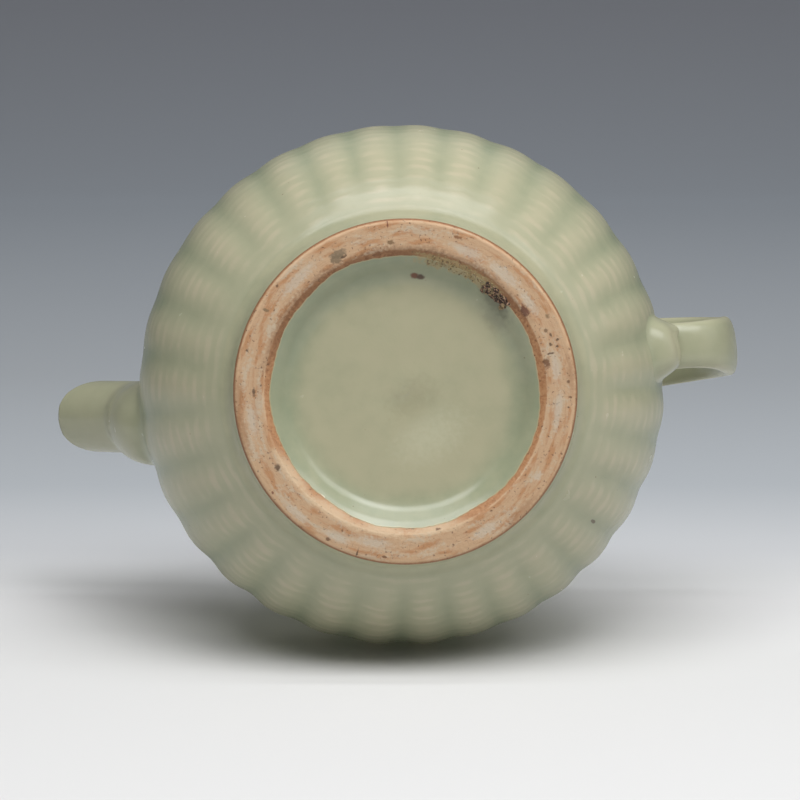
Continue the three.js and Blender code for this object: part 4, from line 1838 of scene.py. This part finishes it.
@dataclass(frozen=True)
class Studio:
    """A pale sheet that the pot lies on and that sweeps up behind it, with soft lamps.

    Attributes:
        sight: the camera's place and directions.
        slope: degrees by which the camera looks down on the sheet.
        clearance: gap between the pot and the sheet.
        half_width: half the sheet's width.
        near: how far the sheet reaches towards the camera.
        level: how far it lies level behind the pot.
        sweep: radius of its sweep upwards.
        wall: height of its upright part.
        shades: the paper's colours by the distance behind the pot, with a lighter band of painted
            light where the pot's shadow falls.
        table_half: half the width of the table under the foot.
        table_drop: how far the table lies under the foot.
        table_shade: the table's colour.
        sky: colour of the even light from all round.
        sky_strength: its strength.
        lamps: the lamps.
    """

    sight: Sight
    slope: float = 10.0
    clearance: float = 0.15
    half_width: float = 1500.0
    near: float = 700.0
    level: float = 900.0
    sweep: float = 500.0
    wall: float = 1200.0
    shades: Tuple[Tuple[float, Colour], ...] = (
        # The lighter stop 45 behind the pot is painted light that lifts the pot's shadow there.
        (-300, (224, 224, 224)), (-20, (220, 220, 220)), (45, (227, 227, 228)),
        (70, (222, 223, 224)), (105, (205, 207, 210)), (200, (185, 190, 195)),
        (400, (179, 184, 189)), (900, (188, 195, 203)), (1180, (157, 160, 167)),
        (1500, (134, 136, 141)),
    )
    table_half: float = 3000.0
    table_drop: float = 0.2
    table_shade: Colour = (214, 214, 212)
    sky: Triple = (0.95, 0.97, 1.0)
    sky_strength: float = 0.1
    lamps: Tuple[Lamp, ...] = (
        Lamp("large softbox", (-50, 810, 580), (1.0, 0.45), 7.6),
        Lamp("right softbox", (450, 700, 580), (0.8, 0.45), 4.1),
        Lamp("low right panel", (1000, 350, 300), (0.6, 0.6), 0.45),
        Lamp("strip above", (60, 960, 220), (0.9, 0.12), 1.9),
        Lamp("back panel", (0, 900, -600), (1.0, 0.6), 0.45),
        Lamp("left fill", (-500, -600, -1100), (0.8, 0.4), 2.4, hidden=True),
        Lamp("right fill", (400, -600, -1100), (0.8, 0.4), 1.8, hidden=True),
    )

    def _sheet(self, touch: np.ndarray, normal: np.ndarray, ahead: np.ndarray) -> bpy.types.Object:
        """The sheet: level to some way behind the pot, a quarter circle, then upright.

        Args:
            touch: where the pot touches it, in millimetres.
            normal: its upward direction.
            ahead: its direction away from the camera.

        Returns:
            The sheet's object.
        """
        side = np.cross(ahead, normal)
        bend = np.linspace(0, np.pi / 2, 24)[1:]
        rise = np.linspace(0, self.wall, 10)[1:]
        out = np.concatenate([
            np.linspace(-self.near, self.level, 40), self.level + self.sweep * np.sin(bend),
            np.full(len(rise), self.level + self.sweep),
        ])
        up = np.concatenate([
            np.zeros(40), self.sweep * (1 - np.cos(bend)), self.sweep + rise,
        ])
        along = length_along(np.stack([out, up], axis=1)) - self.near
        across = np.linspace(-self.half_width, self.half_width, 9)
        middle = touch + out[:, None] * ahead + up[:, None] * normal
        points = middle[:, None] + across[None, :, None] * side
        rows, columns = points.shape[:2]
        number = np.arange(rows * columns).reshape(rows, columns)
        corners = (number[:-1, :-1], number[:-1, 1:], number[1:, 1:], number[1:, :-1])
        quads = np.stack(corners, axis=-1).reshape(-1, 4)
        mesh = bpy.data.meshes.new("sheet")
        mesh.from_pydata((points.reshape(-1, 3) * MM).tolist(), [], quads.tolist())
        mesh.update()
        if np.dot(np.array(mesh.polygons[0].normal), normal) < 0:
            mesh.flip_normals()
        mesh.polygons.foreach_set("use_smooth", np.ones(len(quads), bool))
        place = mesh.attributes.new("along", "FLOAT", "POINT")
        place.data.foreach_set("value", np.repeat(along, columns).astype(np.float32))
        return placed("sheet", mesh)

    def _sheet_finish(self) -> bpy.types.Material:
        """Matt paper, white near the camera and blue-grey behind, and clear from its back.

        Returns:
            The material.
        """
        recipe = Recipe("paper sheet")
        ramp = recipe.node("ShaderNodeValToRGB")
        low, high = self.shades[0][0], self.shades[-1][0]
        while len(ramp.color_ramp.elements) < len(self.shades):
            ramp.color_ramp.elements.new(0.5)
        for element, (place, colour) in zip(ramp.color_ramp.elements, self.shades):
            element.position = (place - low) / (high - low)
            element.color = paint(*colour)
        inputs = {"Value": recipe.layer("along"), 1: float(low), 2: float(high)}
        share = recipe.node("ShaderNodeMapRange", inputs).outputs[0]
        recipe.tree.links.new(share, ramp.inputs[0])
        paper = recipe.node("ShaderNodeBsdfDiffuse", {"Color": ramp.outputs[0]})
        self._one_sided(recipe, paper.outputs[0])
        return recipe.material

    def _one_sided(self, recipe: Recipe, surface: Socket) -> None:
        """Shows a surface from its front only.

        Args:
            recipe: the material's recipe.
            surface: the surface as seen from its front.
        """
        clear = recipe.node("ShaderNodeBsdfTransparent").outputs[0]
        behind = recipe.node("ShaderNodeNewGeometry").outputs["Backfacing"]
        mixed = recipe.node("ShaderNodeMixShader", {0: behind, 1: surface, 2: clear}).outputs[0]
        recipe.node("ShaderNodeOutputMaterial", {"Surface": mixed})

    def _table(self) -> bpy.types.Object:
        """The table under the foot, which only a camera above it sees.

        Returns:
            The table's object.
        """
        mesh = bpy.data.meshes.new("table")
        half, top = self.table_half * MM, -self.table_drop * MM
        corners = [(x * half, y * half, top) for x, y in ((-1, -1), (1, -1), (1, 1), (-1, 1))]
        mesh.from_pydata(corners, [], [(0, 1, 2, 3)])
        recipe = Recipe("pale table")
        paper = recipe.node("ShaderNodeBsdfDiffuse", {"Color": paint(*self.table_shade)})
        self._one_sided(recipe, paper.outputs[0])
        mesh.materials.append(recipe.material)
        table = placed("table", mesh)
        table.visible_diffuse = table.visible_glossy = False
        table.visible_shadow = table.visible_transmission = False
        return table

    def build(self, body: bpy.types.Object) -> None:
        """Lays the sheet against the pot's side and sets the lamps and the world.

        Args:
            body: the pot's body, whose furthest point down touches the sheet.
        """
        _, up, back = self.sight.axes()
        tilt = np.radians(self.slope)
        normal = unit(np.cos(tilt) * up + np.sin(tilt) * back)
        ahead = unit(-back + np.dot(back, normal) * normal)
        places = np.empty(len(body.data.vertices) * 3, np.float32)
        body.data.vertices.foreach_get("co", places)
        places = places.reshape(-1, 3) / MM
        touch = places[np.argmin(places @ normal)] - self.clearance * normal
        sheet = self._sheet(touch, normal, ahead)
        sheet.data.materials.append(self._sheet_finish())
        sheet.visible_shadow = False
        self._table()
        for lamp in self.lamps:
            lamp.build(self.sight)
        world = bpy.data.worlds.new("world")
        world.use_nodes = True
        light = world.node_tree.nodes["Background"].inputs
        light["Color"].default_value = (*self.sky, 1.0)
        light["Strength"].default_value = self.sky_strength
        bpy.context.scene.world = world


@dataclass
class Teapot:
    """The whole pot: its shared form and every sub-assembly."""

    form: PotForm = field(default_factory=PotForm)
    glaze: Celadon = field(default_factory=Celadon)
    clay: BareClay = field(default_factory=BareClay)

    def _ribbed_glaze(self) -> Celadon:
        """The body's glaze, with a brown chip on a rib and a sandy streak.

        Returns:
            The glaze.
        """
        return Celadon(pattern=Pattern.RIBBED, marks=(
            Mark((42.2, 37.0, 18.5), (0.75, 0.45, 2.0), (86, 66, 44), turn=0.7),
            Mark((-7.6, -60.0, 31.0), (2.0, 0.7, 1.6), (176, 142, 88), strength=0.7),
        ))

    def _recess_glaze(self) -> Celadon:
        """The glaze inside the ring: two rust spots, a pale fleck, a grey stain and a sandy edge,
        with a painted highlight and painted shade on the swirl and painted shade along the grit.

        Returns:
            The glaze.
        """
        return Celadon(body=(175, 171, 142), marks=(
            Mark.under((-79.2, 27.6), (1.2, 0.8), (106, 60, 36), 0.95, 0.6, 1.0),
            Mark.under((-76.2, 27.5), (1.2, 0.7), (80, 54, 36), 0.95, 0.6, 1.0),
            # Painted highlight: a soft pale glow on the recess floor beside the swirl.
            Mark.under((68.0, 12.2), (7.0, 4.6), (198, 197, 170), 0.5, 1.8),
            # Painted shade in the hollow at the swirl's middle.
            Mark.under((57.0, 3.1), (6.5, 4.5), (146, 142, 114), 0.35, 1.2),
            Mark.under((-32.5, 27.4), (3.6, 2.2), (124, 120, 100), 0.4, 1.4),
            # Painted shade along the inner side of the grit clot.
            Mark.under((-38.0, 29.8), (4.2, 1.2), (96, 92, 76), 0.5, 1.2),
            Mark.under((134.8, 31.9), (0.9, 0.4), (222, 216, 194), 0.9),
            *Mark.row((-71, -60, -49), 31.4, (4.6, 0.9), (168, 150, 108), 0.75, 1.0, 3.0),
        ))

    def _foot_clay(self) -> BareClay:
        """The ring's clay: pale veils, painted shade on the inner bevel's upper side and painted
        light on its lower side, brown patches near the outer bevel, a sandy edge, a chip and iron
        spots.

        Returns:
            The clay.
        """
        brown, umber, red = (104, 72, 48), (84, 62, 44), (112, 62, 44)
        veils = (
            ((-59.8, 36.4), (3.4, 1.3)), ((-43.8, 36.4), (4.6, 1.4)), ((-29.8, 36.2), (3.4, 1.1)),
            ((-2.6, 36.1), (3.2, 0.9)), ((13.4, 36.5), (4.6, 0.9)), ((65.9, 38.0), (3.6, 1.2)),
            ((38.6, 37.4), (1.3, 0.8)), ((108.3, 36.6), (3.8, 1.2)), ((121.5, 38.2), (3.0, 1.1)),
            ((138.2, 38.7), (3.6, 1.0)), ((175.8, 37.1), (3.8, 1.1)), ((-128.0, 37.0), (5.0, 1.2)),
        )
        spots = (
            ((-89.6, 35.7), (0.9, 0.55), (118, 92, 62)),
            ((-65.0, 38.7), (1.15, 0.4), (128, 84, 50)),
            ((-90.0, 40.2), (0.18, 1.0), red), ((-134.2, 39.5), (0.4, 0.3), brown),
            ((-143.4, 38.4), (0.35, 0.8), (126, 104, 76)), ((-159.2, 38.9), (0.3, 0.3), umber),
            ((-173.8, 36.0), (0.9, 0.4), umber), ((149.1, 39.7), (0.35, 0.3), red),
            ((155.6, 35.3), (0.9, 0.7), umber), ((124.0, 39.6), (0.8, 0.4), brown),
            ((112.9, 40.0), (0.22, 1.0), umber), ((103.5, 39.6), (0.8, 0.25), brown),
            ((82.9, 33.6), (0.7, 0.3), brown), ((-28.2, 34.2), (1.5, 0.9), (96, 56, 42)),
            ((-5.5, 34.2), (1.3, 0.7), (104, 66, 40)), ((-8.7, 35.6), (0.25, 0.8), umber),
            ((-12.9, 38.2), (0.3, 0.35), umber), ((-15.2, 37.0), (0.5, 0.3), umber),
            ((-10.6, 37.6), (0.25, 0.3), umber), ((-12.0, 36.2), (0.4, 0.3), umber),
            ((-17.5, 36.4), (0.6, 0.4), (120, 94, 68)), ((-22.0, 38.2), (0.5, 0.5), (132, 106, 76)),
            ((8.0, 39.2), (0.3, 0.4), brown), ((11.5, 38.9), (0.25, 0.3), umber),
            ((2.5, 38.8), (0.35, 0.4), brown),
        )
        return BareClay(marks=(
            *(Mark.under(*veil, (193, 183, 165), 0.62, 0.9, 2.0) for veil in veils),
            # Painted shade on the upper side of the inner bevel, which faces away from the light.
            *Mark.row(range(-150, -20, 22), 32.9, (7.5, 1.5), (110, 72, 44), 0.55, 1.4, 1.5),
            # Painted light on the lower side of the inner bevel, which faces the light.
            *Mark.row(range(84, 155, 22), 33.3, (6.5, 1.3), (214, 192, 160), 0.6, 1.4, 1.5),
            *Mark.row((0, 52, 172, 184), 39.6, (5.0, 0.9), (150, 110, 76), 0.5, 1.4, 2.0),
            *Mark.row((-71, -60, -49), 32.4, (4.6, 0.9), (172, 150, 106), 0.8, 1.0, 3.0),
            Mark.under((-109.9, 36.4), (2.2, 1.0), (128, 110, 86), 0.9, 0.5, 1.6),
            Mark.under((-111.3, 35.7), (1.5, 1.2), (122, 104, 80), 0.85, 0.5, 1.8),
            Mark.under((-108.6, 35.3), (1.0, 0.3), umber, 0.8, 0.5, 1.6),
            *(Mark.under(*spot, 0.85, 0.8, 2.2) for spot in spots),
        ))

    def build(self) -> bpy.types.Object:
        """Builds every piece in order and reports it.

        Returns:
            The body, which the stage is laid against.
        """
        body = Body(self.form, self._ribbed_glaze()).build()
        foot = FootFinish(self._foot_clay(), self._recess_glaze())
        pieces = [
            body,
            FootRing(self.form, foot).build(),
            Spout(self.form, self.glaze).build(),
            *Handle(self.form, self.glaze).build(),
            *Lid(self.form, self.glaze, self.clay).build(),
            Grit(KilnGrit()).build(),
        ]
        for piece in pieces:
            log.info("%s: %d faces", piece.name, len(piece.data.polygons))
        return body


def main() -> None:
    """Loads the frame and builds the teapot and its stage."""
    logging.basicConfig(level=logging.INFO, format="%(message)s")
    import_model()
    bpy.context.scene.view_settings.view_transform = "Standard"
    sight = Sight()
    sight.build()
    body = Teapot().build()
    Studio(sight).build(body)
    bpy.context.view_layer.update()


if __name__ == "__main__":
    main()
